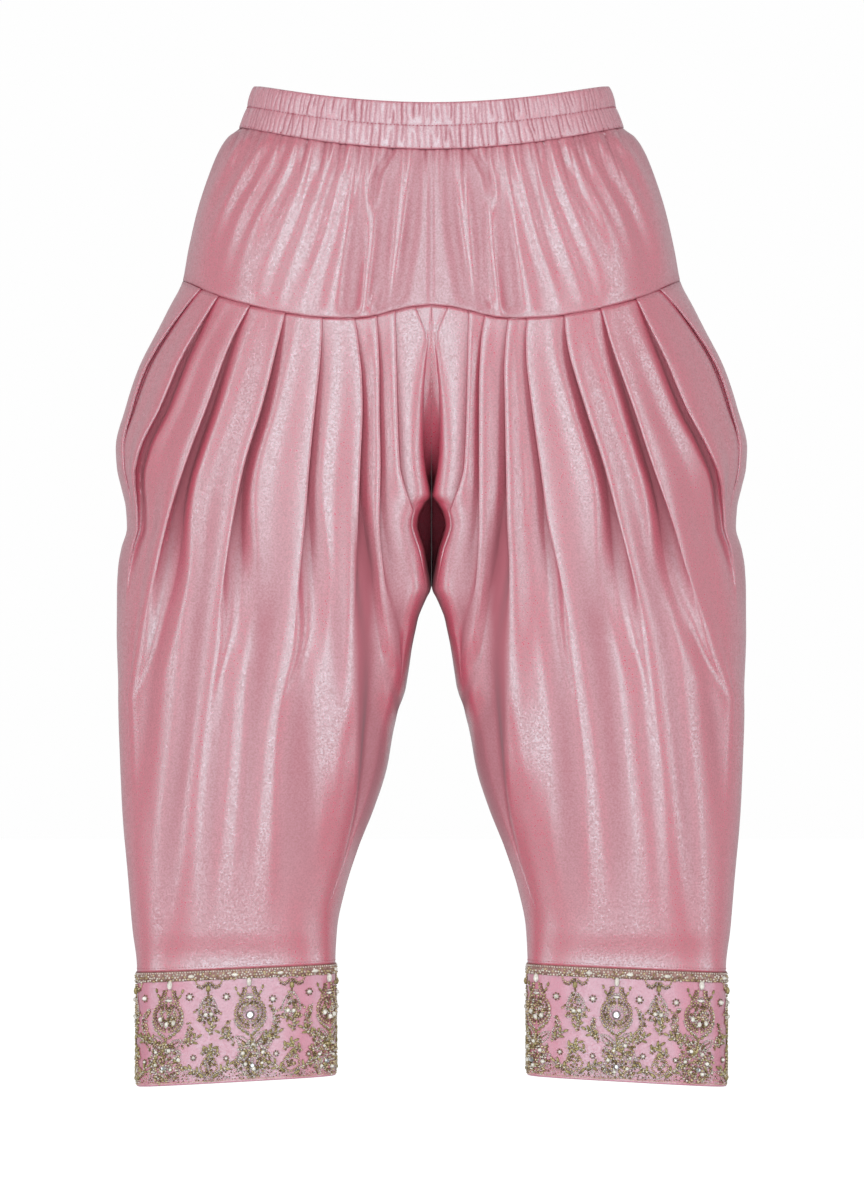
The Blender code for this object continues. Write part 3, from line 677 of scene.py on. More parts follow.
# Pleats open into folds from this drop on, over this span
OPENING_DROP = 345.0
OPENING_SPAN = 170.0
STEP_END_DROP = 745.0
STEP_FADE = 110.0
# Widths in mm at no step and for each mm of step: an open mouth, and how far a closed one is tucked in
OPEN_MOUTH = (8.0, 1.2)
TUCKED_MOUTH = (3.0, 0.6)
LEAST_PANEL = 4.0
# Room kept before the side seam in mm, and share of the way to it, for the outermost pleat and each next
SIDE_ROOM = (5.0, 7.0)
SIDE_LIMIT = (0.955, 0.04)
SIDE_EASE = 60.0
SOFT_HEIGHT = 0.55
SOFT_SPREAD = 1.5
SIDE_FADE = 0.3
SECTION_POINTS = 1200
FOLD_DROPS = (200, 230, 290, 340, 390, 440, 500, 570, 640, 710, 793)
STEP_DROPS = (200, 260, 330, 400, 480, 560, 680)
# A row for each pleat from the side to the centre: offsets of its folded edge at the fold drops, then the
# heights of its step at the step drops
FRONT_PLEATS = {
    "left": (
        ((213, 245, 275, 281, 272, 278, 281, 279, 275, 270, 263), (2.4, 6, 2, 0, 0, 0, 0)),
        ((186, 199, 224, 247, 270, 275, 277, 276, 273, 268, 261), (2.4, 12, 13, 6, 0, 0, 0)),
        ((150, 158, 178, 194, 211, 226, 248, 268, 270, 265, 257), (2.4, 12, 18, 17, 8, 1, 0)),
        ((114, 119, 136, 152, 165, 178, 192, 202, 211, 216, 218), (2.4, 11, 16, 16, 8, 1, 0)),
        ((80, 82, 89, 96, 103, 114, 125, 135, 144, 149, 152), (2.2, 6, 9, 10, 6, 1, 0)),
        ((64, 64, 65, 66, 67, 69, 69, 71, 74, 84, 95), (2.2, 6, 11, 14, 14, 12, 4)),
        ((45, 43, 42, 42, 42, 40, 30, 20, 44, 66, 83), (2.2, 6, 8, 8, 4, 0, 0)),
        ((32, 32, 31, 29, 14, 2, 8, 16, 38, 60, 78), (2.0, 4, 6, 2, 0, 0, 0)),
        ((14, 4, 2, 2, 2, 2, 4, 10, 30, 52, 70), (1.6, 0, 0, 0, 0, 0, 0)),
    ),
    "right": (
        ((215, 243, 270, 281, 272, 278, 281, 279, 275, 270, 263), (2.4, 6, 2, 0, 0, 0, 0)),
        ((195, 214, 238, 261, 271, 275, 277, 276, 273, 268, 261), (2.4, 12, 13, 6, 0, 0, 0)),
        ((162, 177, 198, 216, 231, 243, 256, 267, 269, 265, 257), (2.4, 13, 19, 18, 8, 1, 0)),
        ((127, 135, 150, 165, 175, 183, 191, 202, 211, 217, 221), (2.4, 11, 15, 16, 8, 1, 0)),
        ((92, 96, 103, 108, 112, 117, 123, 140, 145, 152, 156), (2.2, 6, 10, 11, 7, 1, 0)),
        ((64, 63, 61, 63, 65, 67, 69, 70, 73, 84, 95), (2.2, 6, 11, 14, 14, 12, 4)),
        ((46, 46, 46, 45, 46, 42, 31, 21, 44, 66, 83), (2.2, 6, 8, 8, 4, 0, 0)),
        ((31, 31, 30, 28, 14, 2, 8, 16, 38, 60, 78), (2.0, 4, 6, 2, 0, 0, 0)),
        ((14, 4, 2, 2, 2, 2, 4, 10, 30, 52, 70), (1.6, 0, 0, 0, 0, 0, 0)),
    ),
}
REAR_PLEATS = (
    ((208, 226, 246, 260, 266, 270, 270, 268, 266, 262, 258), (2.4, 7, 6, 4, 2, 0, 0)),
    ((178, 190, 208, 222, 233, 242, 249, 252, 252, 251, 248), (2.4, 10, 12, 10, 6, 3, 0)),
    ((144, 152, 168, 182, 194, 205, 216, 226, 232, 236, 238), (2.4, 10, 14, 14, 8, 3, 0)),
    ((110, 116, 128, 139, 149, 159, 171, 184, 194, 202, 207), (2.4, 9, 13, 13, 8, 3, 0)),
    ((80, 84, 92, 98, 104, 111, 121, 134, 146, 156, 162), (2.2, 8, 11, 12, 8, 3, 0)),
    ((54, 56, 60, 63, 66, 70, 76, 84, 92, 100, 108), (2.2, 6, 10, 11, 9, 5, 1)),
    ((30, 31, 34, 37, 39, 42, 46, 52, 64, 82, 94), (2.0, 4, 7, 8, 5, 2, 0)),
)
# Round folds that the pleats open into: offsets at the soft drops, the drops where the fold begins and
# ends, its height and its half width
SOFT_DROPS = (300, 430, 510, 590, 670, 750)
SOFT_FOLDS = {
    "left": (
        ((232, 257, 274, 276, 274, 270), 340, 760, 6.0, 11),
        ((205, 226, 252, 272, 273, 268), 400, 850, 7.5, 10),
        ((186, 213, 227, 237, 247, 253), 330, 850, 6.5, 9),
        ((150, 175, 194, 206, 214, 220), 400, 850, 7.5, 9),
        ((148, 162, 172, 179, 187, 192), 370, 840, 6.0, 8),
        ((98, 112, 127, 139, 146, 151), 380, 850, 7.0, 9),
        ((84, 90, 95, 99, 101, 104), 370, 850, 4.5, 9),
        ((62, 70, 72, 75, 82, 92), 400, 850, 4.0, 8),
        ((58, 54, 48, 34, 52, 70), 330, 720, 4.5, 4.5),
        ((48, 50, 35, 14, 40, 62), 380, 640, 4.0, 3.6),
        ((4, 10, 22, 10, 30, 60), 340, 640, 3.0, 3.6),
    ),
    "right": (
        ((235, 257, 274, 276, 274, 270), 340, 760, 6.0, 11),
        ((212, 242, 260, 271, 273, 268), 400, 850, 7.5, 10),
        ((196, 220, 230, 239, 251, 259), 330, 850, 6.5, 9),
        ((160, 182, 193, 205, 214, 220), 400, 850, 7.5, 9),
        ((160, 168, 171, 175, 181, 188), 370, 840, 6.0, 8),
        ((104, 116, 128, 142, 148, 154), 380, 850, 7.0, 9),
        ((88, 96, 100, 94, 90, 92), 370, 850, 4.5, 9),
        ((62, 69, 70, 73, 80, 90), 400, 850, 4.0, 8),
        ((58, 55, 49, 36, 52, 70), 330, 720, 4.5, 4.5),
        ((48, 50, 37, 16, 40, 62), 380, 640, 4.0, 3.6),
        ((4, 11, 23, 12, 30, 60), 340, 640, 3.0, 3.6),
    ),
    "rear": (
        ((222, 248, 256, 262, 262, 258), 320, 850, 6.0, 11),
        ((190, 222, 232, 240, 246, 246), 330, 850, 6.5, 10),
        ((148, 182, 196, 210, 218, 222), 340, 850, 6.5, 9),
        ((112, 140, 160, 174, 184, 190), 360, 850, 6.5, 10),
        ((82, 104, 124, 138, 148, 156), 380, 850, 6.0, 9),
        ((62, 78, 92, 102, 112, 122), 400, 850, 5.0, 9),
    ),
}


def position_of_offset(drop, offset, limit):
    """The t at which a section has this offset from the centre plane: the superellipse arcs undone. An
    offset past the limit, a share of the way from apex to side, counts as at the limit."""
    side = table_column(SECTIONS, SECTION_COLUMNS, "side", drop)
    apex = table_column(SECTIONS, SECTION_COLUMNS, "apex", drop)
    inner = table_column(CENTRE, CENTRE_COLUMNS, "inner", drop)
    offset = np.maximum(offset, inner + 3.0)
    round_inner = table_column(SECTIONS, SECTION_COLUMNS, "round_inner", drop)
    round_side = table_column(SECTIONS, SECTION_COLUMNS, "round_side", drop)
    inward = np.clip((apex - offset) / (apex - inner), 0.0, 1.0)
    outward = np.clip((offset - apex) / (side - apex), 0.0, limit)
    t_inner = np.arctan2((1.0 - inward ** round_inner) ** (1.0 / round_inner), inward) / (np.pi / 2)
    t_outer = 1.0 + np.arctan2(outward, (1.0 - outward ** round_side) ** (1.0 / round_side)) / (np.pi / 2)
    return np.where(offset < apex, t_inner, t_outer)


def bezier(start, first, second, end, share):
    """Cubic Bezier values, a row for each section and a column for each share."""
    rest = 1.0 - share
    return (rest ** 3 * start + 3 * rest ** 2 * share * first
            + 3 * rest * share ** 2 * second + share ** 3 * end)


def eased(values, span):
    """Values averaged with the ones up to a span before and after, those far off counting less."""
    weights = np.hanning(2 * span + 3)[1:-1]
    padded = np.pad(values, span, mode="reflect", reflect_type="odd")
    return np.convolve(padded, weights / weights.sum(), mode="valid")


def pleat_columns(rows, length, positions, folds):
    """Distance along the section, height and painted shade of every column, the shade deepest in the wedge
    under each folded edge. From the centre out, each pleat is a panel that dives to a valley, then a mouth
    that curls up to the folded edge, which is rounded as a quarter ellipse. Near the seam the mouth is cut
    under the edge as in a pressed pleat, and lower down it opens into a round fold."""
    distances, heights, inward = [[np.zeros((rows.size, 1))] for _ in range(3)]
    before, before_height = np.zeros((rows.size, 1)), np.zeros((rows.size, 1))
    soft = smooth_step((rows[:, None] - OPENING_DROP) / OPENING_SPAN)
    total = length[:, -1:]
    for number, (offsets, steps) in reversed(list(enumerate(folds))):
        place = position_of_offset(rows, smooth_curve(rows, FOLD_DROPS, offsets),
                                   SIDE_LIMIT[0] - SIDE_LIMIT[1] * number)
        # The two outermost pleats run up against the side seam, and easing takes out the kink there
        if number < 2:
            place = eased(place, int(SIDE_EASE / (rows[1] - rows[0])))
        edge = np.array([[np.interp(p, positions, run)] for p, run in zip(place, length)])
        edge = np.minimum(edge, total - SIDE_ROOM[0] - SIDE_ROOM[1] * number)
        edge = np.maximum(edge, before + LEAST_PANEL)
        height = smooth_curve(rows, STEP_DROPS, steps)[:, None]
        height = height * np.clip((STEP_END_DROP - rows[:, None]) / STEP_FADE, 0.0, 1.0)
        tucked = (1.0 - soft) * np.clip(height / 1.5, 0.0, 1.0)
        opened = (1.0 - tucked) * (OPEN_MOUTH[0] + OPEN_MOUTH[1] * height)
        mouth = np.minimum(-0.8 * tucked + opened, (edge - before) * 0.6)
        under = (TUCKED_MOUTH[0] + TUCKED_MOUTH[1] * height) * tucked
        valley = edge - mouth
        sunk, raised = -(1.0 - RIDGE_SHARE) * height, RIDGE_SHARE * height
        # The panel: level at first, then down to the valley, sharply near the seam and rounded below
        run = valley - before
        count = max(3, int(np.ceil(run.max() / COLUMN_SPACING)))
        share = 1.0 - (1.0 - np.linspace(0.0, 1.0, count + 1)[None, 1:]) ** 1.35
        reach = np.minimum((DIVE_WIDTH + 8.0 * soft) / run, 0.75)
        fall = np.clip((share - 1.0 + reach) / reach, 0.0, 1.0)
        crisp = fall ** 1.8
        rounded = smooth_step(fall)
        lip = 1.0 - smooth_step(share / 0.55)
        distances.append(before + run * share)
        heights.append(before_height * lip + sunk * (crisp + (rounded - crisp) * soft))
        # Painted shade in the pleat's wedge, deepest where the panel dives under the folded edge
        wedge_shade = tucked * np.clip((height - 2.0) / 9.0, 0.0, 1.0)
        inward.append(0.8 * wedge_shade * fall ** 2)
        # The mouth: from the valley under the folded edge and up to it
        share = np.linspace(0.0, 1.0, MOUTH_COLUMNS + 1)[None, 1:]
        turn = edge + under - 0.5 * mouth * (1.0 - tucked)
        start = heights[-1][:, -1:]
        nose = NOSE[1] * tucked
        deepest = start - 0.15 * height * tucked
        distances.append(bezier(valley, turn, turn + (edge - turn) * 0.5 * tucked, edge, share))
        heights.append(bezier(start, deepest, raised - 2.0 * nose, raised - nose, share))
        # Painted shade inside the mouth, halved at its last column
        inward.append(wedge_shade * np.where(share < 0.9, 1.0, 0.5))
        # The folded edge itself, a quarter ellipse
        angles = np.array(NOSE_ANGLES)[None, :]
        distances.append(edge + NOSE[0] * (1.0 - np.cos(angles)))
        heights.append(raised - nose * (1.0 - np.sin(angles)))
        inward.append(0.0 * wedge_shade * angles)
        before, before_height = edge + NOSE[0], raised
    count = max(3, int(np.ceil((total - before).max() / COLUMN_SPACING)))
    share = np.linspace(0.0, 1.0, count + 1)[None, 1:]
    run = (total - before) * 0.36
    distances.append(bezier(before, before + run, total - run, total, share))
    heights.append(bezier(before_height, before_height, 0.0 * run, 0.0 * run, share))
    inward.append(0.0 * run * share)
    return [np.concatenate(parts, axis=1) for parts in (distances, heights, inward)]


def add_leg(word, facing, finish):
    """One leg panel: its pleat columns on the sections, raised along the sections' level normals."""
    side = 1.0 if word == "left" else -1.0
    folds = FRONT_PLEATS[word] if facing == "front" else REAR_PLEATS
    rows = np.linspace(PLEAT_SEAM_DROP, CUFF_TOP_DROP, LEG_ROWS[facing])
    positions = np.linspace(0.0, 2.0, SECTION_POINTS)
    level, place = np.meshgrid(rows, positions, indexing="ij")
    x, y = half_section(level, place, facing, SEAM_CLEARANCE)
    steps = np.hypot(np.diff(x, axis=1), np.diff(y, axis=1))
    length = np.concatenate([np.zeros((rows.size, 1)), np.cumsum(steps, axis=1)], axis=1)
    distance, height, inward = pleat_columns(rows, length, positions, folds)
    t = np.array([np.interp(d, run, positions) for d, run in zip(distance, length)])
    below_seam = np.clip(1.0 - (rows - rows[0]) / SEAM_CURVE_REACH, 0.0, 1.0)[:, None]
    above_cuff = np.clip(1.0 - (rows[-1] - rows) / CUFF_TILT_REACH, 0.0, 1.0)[:, None]
    seam = yoke_seam_drop(width_share(PLEAT_SEAM_DROP, t[0], facing), facing) + SEAM_GAP
    cuff_offset = half_section(np.full(t[-1].shape, rows[-1]), t[-1], facing, SEAM_CLEARANCE)[0]
    cuff = np.interp(cuff_offset, CUFF_SIDES, CUFF_TOP) - SEAM_GAP
    drop = rows[:, None] + (seam - rows[0]) * below_seam + (cuff - rows[-1]) * above_cuff
    offset, depth = half_section(drop, t, facing, SEAM_CLEARANCE)
    ridge, open_cloth = np.zeros(offset.shape), np.zeros(offset.shape)
    by_side = smooth_step((2.0 - t) / SIDE_FADE)
    for lines, begin, end, high, width in SOFT_FOLDS[word if facing == "front" else "rear"]:
        line = smooth_curve(rows, SOFT_DROPS, lines)[:, None]
        reach = np.clip((rows - begin) / 150, 0, 1) ** 2 * np.clip((end - rows) / 240, 0, 1) ** 1.15
        reach = reach * smooth_step((rows[-1] - rows) / 120)
        near = np.exp(-np.abs((offset - line) / (SOFT_SPREAD * width)) ** 3)
        height = height + SOFT_HEIGHT * high * reach[:, None] * near * by_side
        ridge, open_cloth = ridge + near, np.maximum(open_cloth, reach[:, None])
    height = height - 0.4 * np.exp(-(drop - seam) / 0.6)
    out_x, out_y = level_normals(drop, t, facing, SEAM_CLEARANCE)
    seam_ends = np.clip(t / 0.02, 0.0, 1.0) * np.clip((2.0 - t) / 0.05, 0.0, 1.0)
    height = height * seam_ends
    outer = np.stack([offset + out_x * height, depth + out_y * height, -drop], axis=-1)
    toward = -1.0 if facing == "front" else 1.0
    outer[:, -1, 1] = toward * SEAM_CLEARANCE
    outer[:, 0, 1] += toward * SEAM_CLEARANCE
    outer[..., 0] = side * np.maximum(outer[..., 0], SEAM_CLEARANCE)
    normals = np.stack([side * out_x, out_y, np.zeros(out_x.shape)], axis=-1)
    node = "leg_" + word + "_" + facing
    piece = add_cloth(node + "_satin", outer, normals, finish, [node])
    # Painted shade between the round folds, in the pleat wedges and at the seam
    hollow_shade = 0.65 * open_cloth * np.clip(1.0 - ridge, 0.0, 1.0) ** 1.5 * by_side
    # Painted shade on the recess beside the inner panel, 40 to 72 mm off the centre, where the panel's shade
    # falls
    recess = smooth_step((72.0 - offset) / 6.0) * smooth_step((offset - 40.0) / 22.0)
    recess = recess * smooth_step((drop - 370.0) / 60.0) * smooth_step((690.0 - drop) / 120.0)
    if facing == "front":
        hollow_shade = np.maximum(hollow_shade, 1.1 * recess)
    paint_shade(piece, inward + 0.2 * np.exp(-(drop - seam) / 0.7) + hollow_shade)


for word in ("left", "right"):
    for facing in ("front", "rear"):
        add_leg(word, facing, satin)


# Stitching: lock stitches of polyester thread along the middle and the foot of the waistband, a row that
# holds the turned edge above each cuff, and a paler row down the joint of the two leg fronts.
SIDES = (("left", 1.0), ("right", -1.0))
STITCH_CORNERS = np.array([(-0.5, 0, 0), (0, -0.5, 0), (0, 0, 0.6), (0, 0.5, 0), (0.5, 0, 0), (0, 0, -0.4)])
STITCH_FACES = np.array([(0, 1, 2), (0, 2, 3), (0, 3, 5), (0, 5, 1),
                         (4, 2, 1), (4, 3, 2), (4, 5, 3), (4, 1, 5)])


def sew_stitches(name, middles, alongs, outs, length, width, finish):
    """One joined mesh of short stitches, each a bar with pointed ends, from rows of places and directions."""
    along, across = alongs[:, None, :] * length, np.cross(outs, alongs)[:, None, :] * width
    out = outs[:, None, :] * width
    points = (middles[:, None, :] + along * STITCH_CORNERS[:, :1] + across * STITCH_CORNERS[:, 1:2]
              + out * STITCH_CORNERS[:, 2:])
    faces = STITCH_FACES + len(STITCH_CORNERS) * np.arange(len(middles))[:, None, None]
    return add_piece(name, points.reshape(-1, 3), faces.reshape(-1, 3), finish)


def sew_line(name, line, outs, spacing, length, width, finish):
    """Stitches at an even spacing along a line of points that has an outward direction at each."""
    run = np.concatenate([[0.0], np.cumsum(np.linalg.norm(np.diff(line, axis=0), axis=1))])
    place = np.arange(spacing / 2, run[-1], spacing)
    middles, before, after = [
        np.stack([np.interp(place + shift, run, line[:, axis]) for axis in range(3)], axis=-1)
        for shift in (0.0, -0.5, 0.5)]
    alongs = (after - before) / np.linalg.norm(after - before, axis=1, keepdims=True)
    raised = np.stack([np.interp(place, run, outs[:, axis]) for axis in range(3)], axis=-1)
    return sew_stitches(name, middles, alongs, raised, length, width, finish)


def thread_finish(name, dark, light):
    """Polyester thread: matt, with a slow change of tone along it where the twist catches the light."""
    finish, tree, place = blank_finish(name)
    twist = add_node(tree, "ShaderNodeTexNoise", [("Vector", place), ("Scale", 400.0), ("Detail", 1.0)])
    tone = add_node(tree, "ShaderNodeMix", [
        ("Factor", twist.outputs["Fac"]), (MIX_A, linear(dark)), (MIX_B, linear(light))], data_type="RGBA")
    shader = add_node(tree, "ShaderNodeBsdfPrincipled", [
        ("Base Color", tone.outputs[MIX_RESULT]), ("Roughness", 0.6)])
    add_node(tree, "ShaderNodeOutputMaterial", [("Surface", shader.outputs["BSDF"])])
    return finish


pink_thread = thread_finish("pink_polyester_thread", "#9C3C52", "#B9566B")
pale_thread = thread_finish("pale_polyester_thread", "#DDBFC4", "#F0DDDF")
for name, share in (("waistband_middle_stitches", 0.5), ("waistband_foot_stitches", 0.955)):
    x, y, drop = band_ring(np.array([share]))
    ring_x, ring_y = ring_outward(x, y)
    line = np.stack([x[0] + 0.25 * ring_x[0], y[0] + 0.25 * ring_y[0], -drop[0]], axis=-1)
    outward = np.stack([ring_x[0], ring_y[0], 0.0 * ring_x[0]], axis=-1)
    sew_line(name, line, outward, 3.4, 1.7, 0.9, pink_thread)
for word, side in SIDES:
    t = np.linspace(0.03, 1.97, 600)
    x = half_section(np.full(t.size, CUFF_TOP_DROP), t, "front")[0]
    drop = np.interp(x, CUFF_SIDES, CUFF_TOP) - 4.0
    x, y = half_section(drop, t, "front")
    out_x, out_y = level_normals(drop, t, "front")
    line = np.stack([side * (x + 0.15 * out_x), y + 0.15 * out_y, -drop], axis=-1)
    outward = np.stack([side * out_x, out_y, 0.0 * out_x], axis=-1)
    sew_line("leg_" + word + "_edge_stitches", line, outward, 2.9, 1.9, 0.5, pink_thread)
drop = np.linspace(226.0, 284.0, 60)
depth = half_section(drop, np.full(drop.size, 0.0), "front")[1]
line = np.stack([0.0 * drop, depth - 0.2, -drop], axis=-1)
outward = np.tile([0.0, -1.0, 0.0], (drop.size, 1))
sew_line("centre_joint_stitches", line, outward, 4.4, 2.6, 0.8, pale_thread)


# Cuffs: two straight bands of the same satin, backed so that they stand stiffly under the embroidery, with
# a narrow turned roll along the hem.
CUFF_HEM = (889.0, 899.0)
CUFF_FOOT_DROP = 899.0
CUFF_DEPTH = 101.0
HEM_TURN = 4.0
HEM_ROLL = 0.7
HEM_ROLL_WIDTH = 3.6
HEM_EDGE = 0.8
PUCKER = 0.3
HEM_ROWS = 10
CUFF_COLUMNS = 300
CUFF_ROWS = 32
CUFF_WALL = 2.2


def cuff_outline(share):
    """Corners of the closed outline of a cuff, from its inner end round by the front, with the distance of
    each along it and its whole length. share 0 is the cuff's top and 1 its hem."""
    t = np.linspace(0.0, 2.0, SECTION_POINTS)
    drop = np.full(t.size, CUFF_TOP_DROP + share * (CUFF_FOOT_DROP - CUFF_TOP_DROP))
    front = half_section(drop, t, "front")
    rear = half_section(drop, t, "rear")
    x = np.concatenate([front[0], rear[0][-2:0:-1]])
    y = np.concatenate([front[1], rear[1][-2:0:-1]])
    length = np.concatenate([[0.0], np.cumsum(np.hypot(np.diff(x), np.diff(y)))])
    return x, y, length, length[-1] + np.hypot(x[0] - x[-1], y[0] - y[-1])


def cuff_point(side, u, v, height):
    """A point on a cuff. u is the distance round it from the middle of its front, towards the viewer's
    right, v the distance below its top edge and height the distance out from its cloth."""
    places = []
    whole_top = cuff_outline(0.0)[3]
    for share in (0.0, 1.0):
        x, y, length, whole = cuff_outline(share)
        middle = np.interp((CUFF_SIDES[0] + CUFF_SIDES[1]) / 2, x[:SECTION_POINTS], length[:SECTION_POINTS])
        run = (middle + side * u * whole / whole_top) % whole
        places.append([np.interp((run + step) % whole, np.append(length, whole), np.append(line, line[0]))
                       for step in (0.0, -0.6, 0.6) for line in (x, y)])
    share = np.clip(v / CUFF_DEPTH, 0.0, 1.0)
    x, y, x_back, y_back, x_on, y_on = [a + (b - a) * share for a, b in zip(*places)]
    length = np.maximum(np.hypot(x_on - x_back, y_on - y_back), 1e-9)
    out_x, out_y = (y_on - y_back) / length, -(x_on - x_back) / length
    top = np.interp(x, CUFF_SIDES, CUFF_TOP)
    hem = np.interp(x, CUFF_SIDES, CUFF_HEM)
    drop = top + (hem - top) * v / CUFF_DEPTH
    return np.stack([side * (x + out_x * height), y + out_y * height, -drop], axis=-1)


# The stiffened satin of the cuffs lies flat and looks duller and greyer between its beads
cuff_satin = shimmer_satin("cuff_satin", "#BC687D", "#C57487", "#D08296", 1.7, 0.42)
for word, side in SIDES:
    whole = cuff_outline(0.0)[3]
    u = np.linspace(0.0, whole, CUFF_COLUMNS, endpoint=False)
    hem_start = CUFF_DEPTH - HEM_TURN
    v = np.concatenate([np.linspace(0.0, hem_start, CUFF_ROWS - HEM_ROWS),
                        hem_start + HEM_TURN * np.linspace(0.0, 1.0, HEM_ROWS + 1)[1:]])
    grid_u, grid_v = np.meshgrid(u, v)
    roll = np.clip((grid_v - CUFF_DEPTH + HEM_ROLL_WIDTH) / HEM_ROLL_WIDTH, 0.0, 1.0)
    rolled = HEM_ROLL * np.sin(np.pi * roll) ** 0.6
    rolled -= np.clip((grid_v - CUFF_DEPTH + HEM_EDGE) / HEM_EDGE, 0.0, 1.0) ** 3
    turn = 2 * np.pi * grid_u / whole
    puckered = PUCKER * np.sin(11 * turn + 1.3 * np.sin(grid_v / 9.0))
    puckered = puckered * np.sin(grid_v / 8.3 + np.sin(6 * turn))
    outer = cuff_point(side, grid_u, grid_v, rolled + puckered)
    back_u, back_v = np.meshgrid(u, np.linspace(CUFF_DEPTH, 0.0, 6))
    inner = cuff_point(side, back_u, back_v, np.full(back_u.shape, -CUFF_WALL))
    shell = np.concatenate([outer, inner])
    cuff = add_tube("cuff_" + word + "_satin", shell, cuff_satin, ["cuff_" + word])


# Embroidery: raised bead and metal-thread work sewn by hand through each cuff. Pomegranates on curved stems
# grow out of dense flowers, with hanging buds, leaf sprays, set stones and beaded scallops between them.
# The layout is a general one for this kind of work, repeated six times round a cuff.
BEAD_GAIN = 1.28
POMEGRANATES = {"left": (-84.0, -10.0, 65.5), "right": (-61.0, 13.3, 88.0)}
# Distances below the cuff's top edge in mm
FRUIT_DROP = 39.5
FLOWER_DROP = 80.5
BUD_DROP = 9.5
STONE_DROP = 25.0
SPRIG_DROP = 83.5
SCALLOP_DROP = 97.4
STRIP_DROP = 4.8
LOWEST_BEAD = 99.4
# Leaf sprays of each repeat: place from the middle of the gap, distance below the edge, side and turn
LEAF_SPRAYS = (
    (-21, 66, 1, -36), (20, 63, -1, 34), (-8, 74, 1, -30), (10, 76, -1, 24), (-8, 93, -1, 35),
    (9, 92, 1, -38), (1, 58, 1, -80),
)
# Rows of beads round the whole cuff: kind, distance below the edge and width
BORDER_ROWS = (("bronze", 7.6, 1.3), ("silver", 0.6, 1.7), ("gold", 98.8, 1.0))
BEAD_SHAPES = {
    # kind: length, height and spacing as shares of the width
    "silver": (1.0, 0.72, 1.06),
    "gold": (1.2, 0.8, 1.25),
    "bronze": (1.2, 0.75, 1.25),
    "olive": (2.0, 0.7, 1.8),
    "pearl": (1.0, 0.75, 1.1),
    "crystal": (1.0, 0.6, 1.1),
}


def stitch(kind, x, y, width, angle=0.0, stretch=1.0):
    """Beads of one kind: a row each with place, length, width, height and angle."""
    long, high, _ = BEAD_SHAPES[kind]
    values = (np.atleast_1d(np.asarray(value, float)) for value in (x, y, width, angle))
    x, y, width, angle = np.broadcast_arrays(*values)
    width = width * BEAD_GAIN
    return kind, np.column_stack([x, y, width * long * stretch, width, width * high, angle])


def bead_row(kind, corners, width):
    """Beads at an even spacing along the smooth line through the corners, turned along it."""
    corners = np.array(corners, float)
    run = np.concatenate([[0.0], np.cumsum(np.hypot(*np.diff(corners, axis=0).T))])
    fine = np.linspace(0.0, run[-1], 30 * len(corners))
    line = np.stack([smooth_curve(fine, run, corners[:, axis]) for axis in (0, 1)])
    length = np.concatenate([[0.0], np.cumsum(np.hypot(*np.diff(line, axis=1)))])
    count = max(1, round(length[-1] / (width * BEAD_GAIN * BEAD_SHAPES[kind][2])))
    place = (np.arange(count) + 0.5) / count * length[-1]
    before, after = [[np.interp(place + step, length, part) for part in line] for step in (-0.3, 0.3)]
    angle = np.arctan2(after[1] - before[1], after[0] - before[0])
    return stitch(kind, np.interp(place, length, line[0]), np.interp(place, length, line[1]), width, angle)


def moved(parts, x, y, mirror=1.0, turn=0.0, scale=1.0):
    """Parts mirrored, scaled with their beads, turned and set down at a place."""
    result = []
    for kind, beads in parts:
        beads = beads.copy()
        across, down = beads[:, 0] * mirror * scale, beads[:, 1] * scale
        beads[:, 0] = x + across * np.cos(turn) - down * np.sin(turn)
        beads[:, 1] = y + across * np.sin(turn) + down * np.cos(turn)
        beads[:, 2:5] *= scale
        beads[:, 5] = (beads[:, 5] if mirror > 0 else np.pi - beads[:, 5]) + turn
        result.append((kind, beads))
    return result


def both(parts):
    """Parts and their reflection across the upright line through the origin."""
    return parts + moved(parts, 0.0, 0.0, mirror=-1.0)


def sown(inside, reach, spacing, chance, shares=(0.35, 0.35), size=(1.3, 1.9), top=-99.0):
    """Beads sown over a region on a jittered triangular grid: shares of them silver and gold, and the
    rest bronze."""
    half = [int(edge / spacing) + 3 for edge in reach]
    columns, rows = np.meshgrid(np.arange(-half[0], half[0]), np.arange(-half[1], half[1]))
    x = (columns + 0.5 * (rows % 2)) * spacing
    y = rows * spacing * 0.866
    kept = (np.abs(x) < reach[0]) & (np.abs(y) < reach[1]) & (y > top)
    x, y = x[kept], y[kept]
    x = x + chance.normal(0.0, 0.16 * spacing, x.size)
    y = y + chance.normal(0.0, 0.16 * spacing, y.size)
    kept = inside(x, y) & (chance.random(x.size) < 0.94)
    x, y = x[kept], y[kept]
    lot = chance.random(x.size)
    width = chance.uniform(*size, x.size) / BEAD_GAIN
    turn = chance.uniform(0, np.pi, x.size)
    silver, bronze = lot < shares[0], lot >= shares[0] + shares[1]
    gold = ~silver & ~bronze
    return [stitch(kind, x[own], y[own], width[own], turn[own])
            for kind, own in (("silver", silver), ("gold", gold), ("bronze", bronze))]


def leaf(length, width, kind="gold", bead=1.1):
    """Outline of a pointed leaf along +x, from its foot at the origin."""
    side = [(0, 0), (0.25 * length, 0.42 * width), (0.55 * length, 0.5 * width), (length, 0)]
    return both_ways([bead_row(kind, side, bead)])


def both_ways(parts):
    """Parts and their reflection across the x axis."""
    return parts + moved(moved(parts, 0, 0, mirror=-1.0), 0, 0, turn=np.pi)


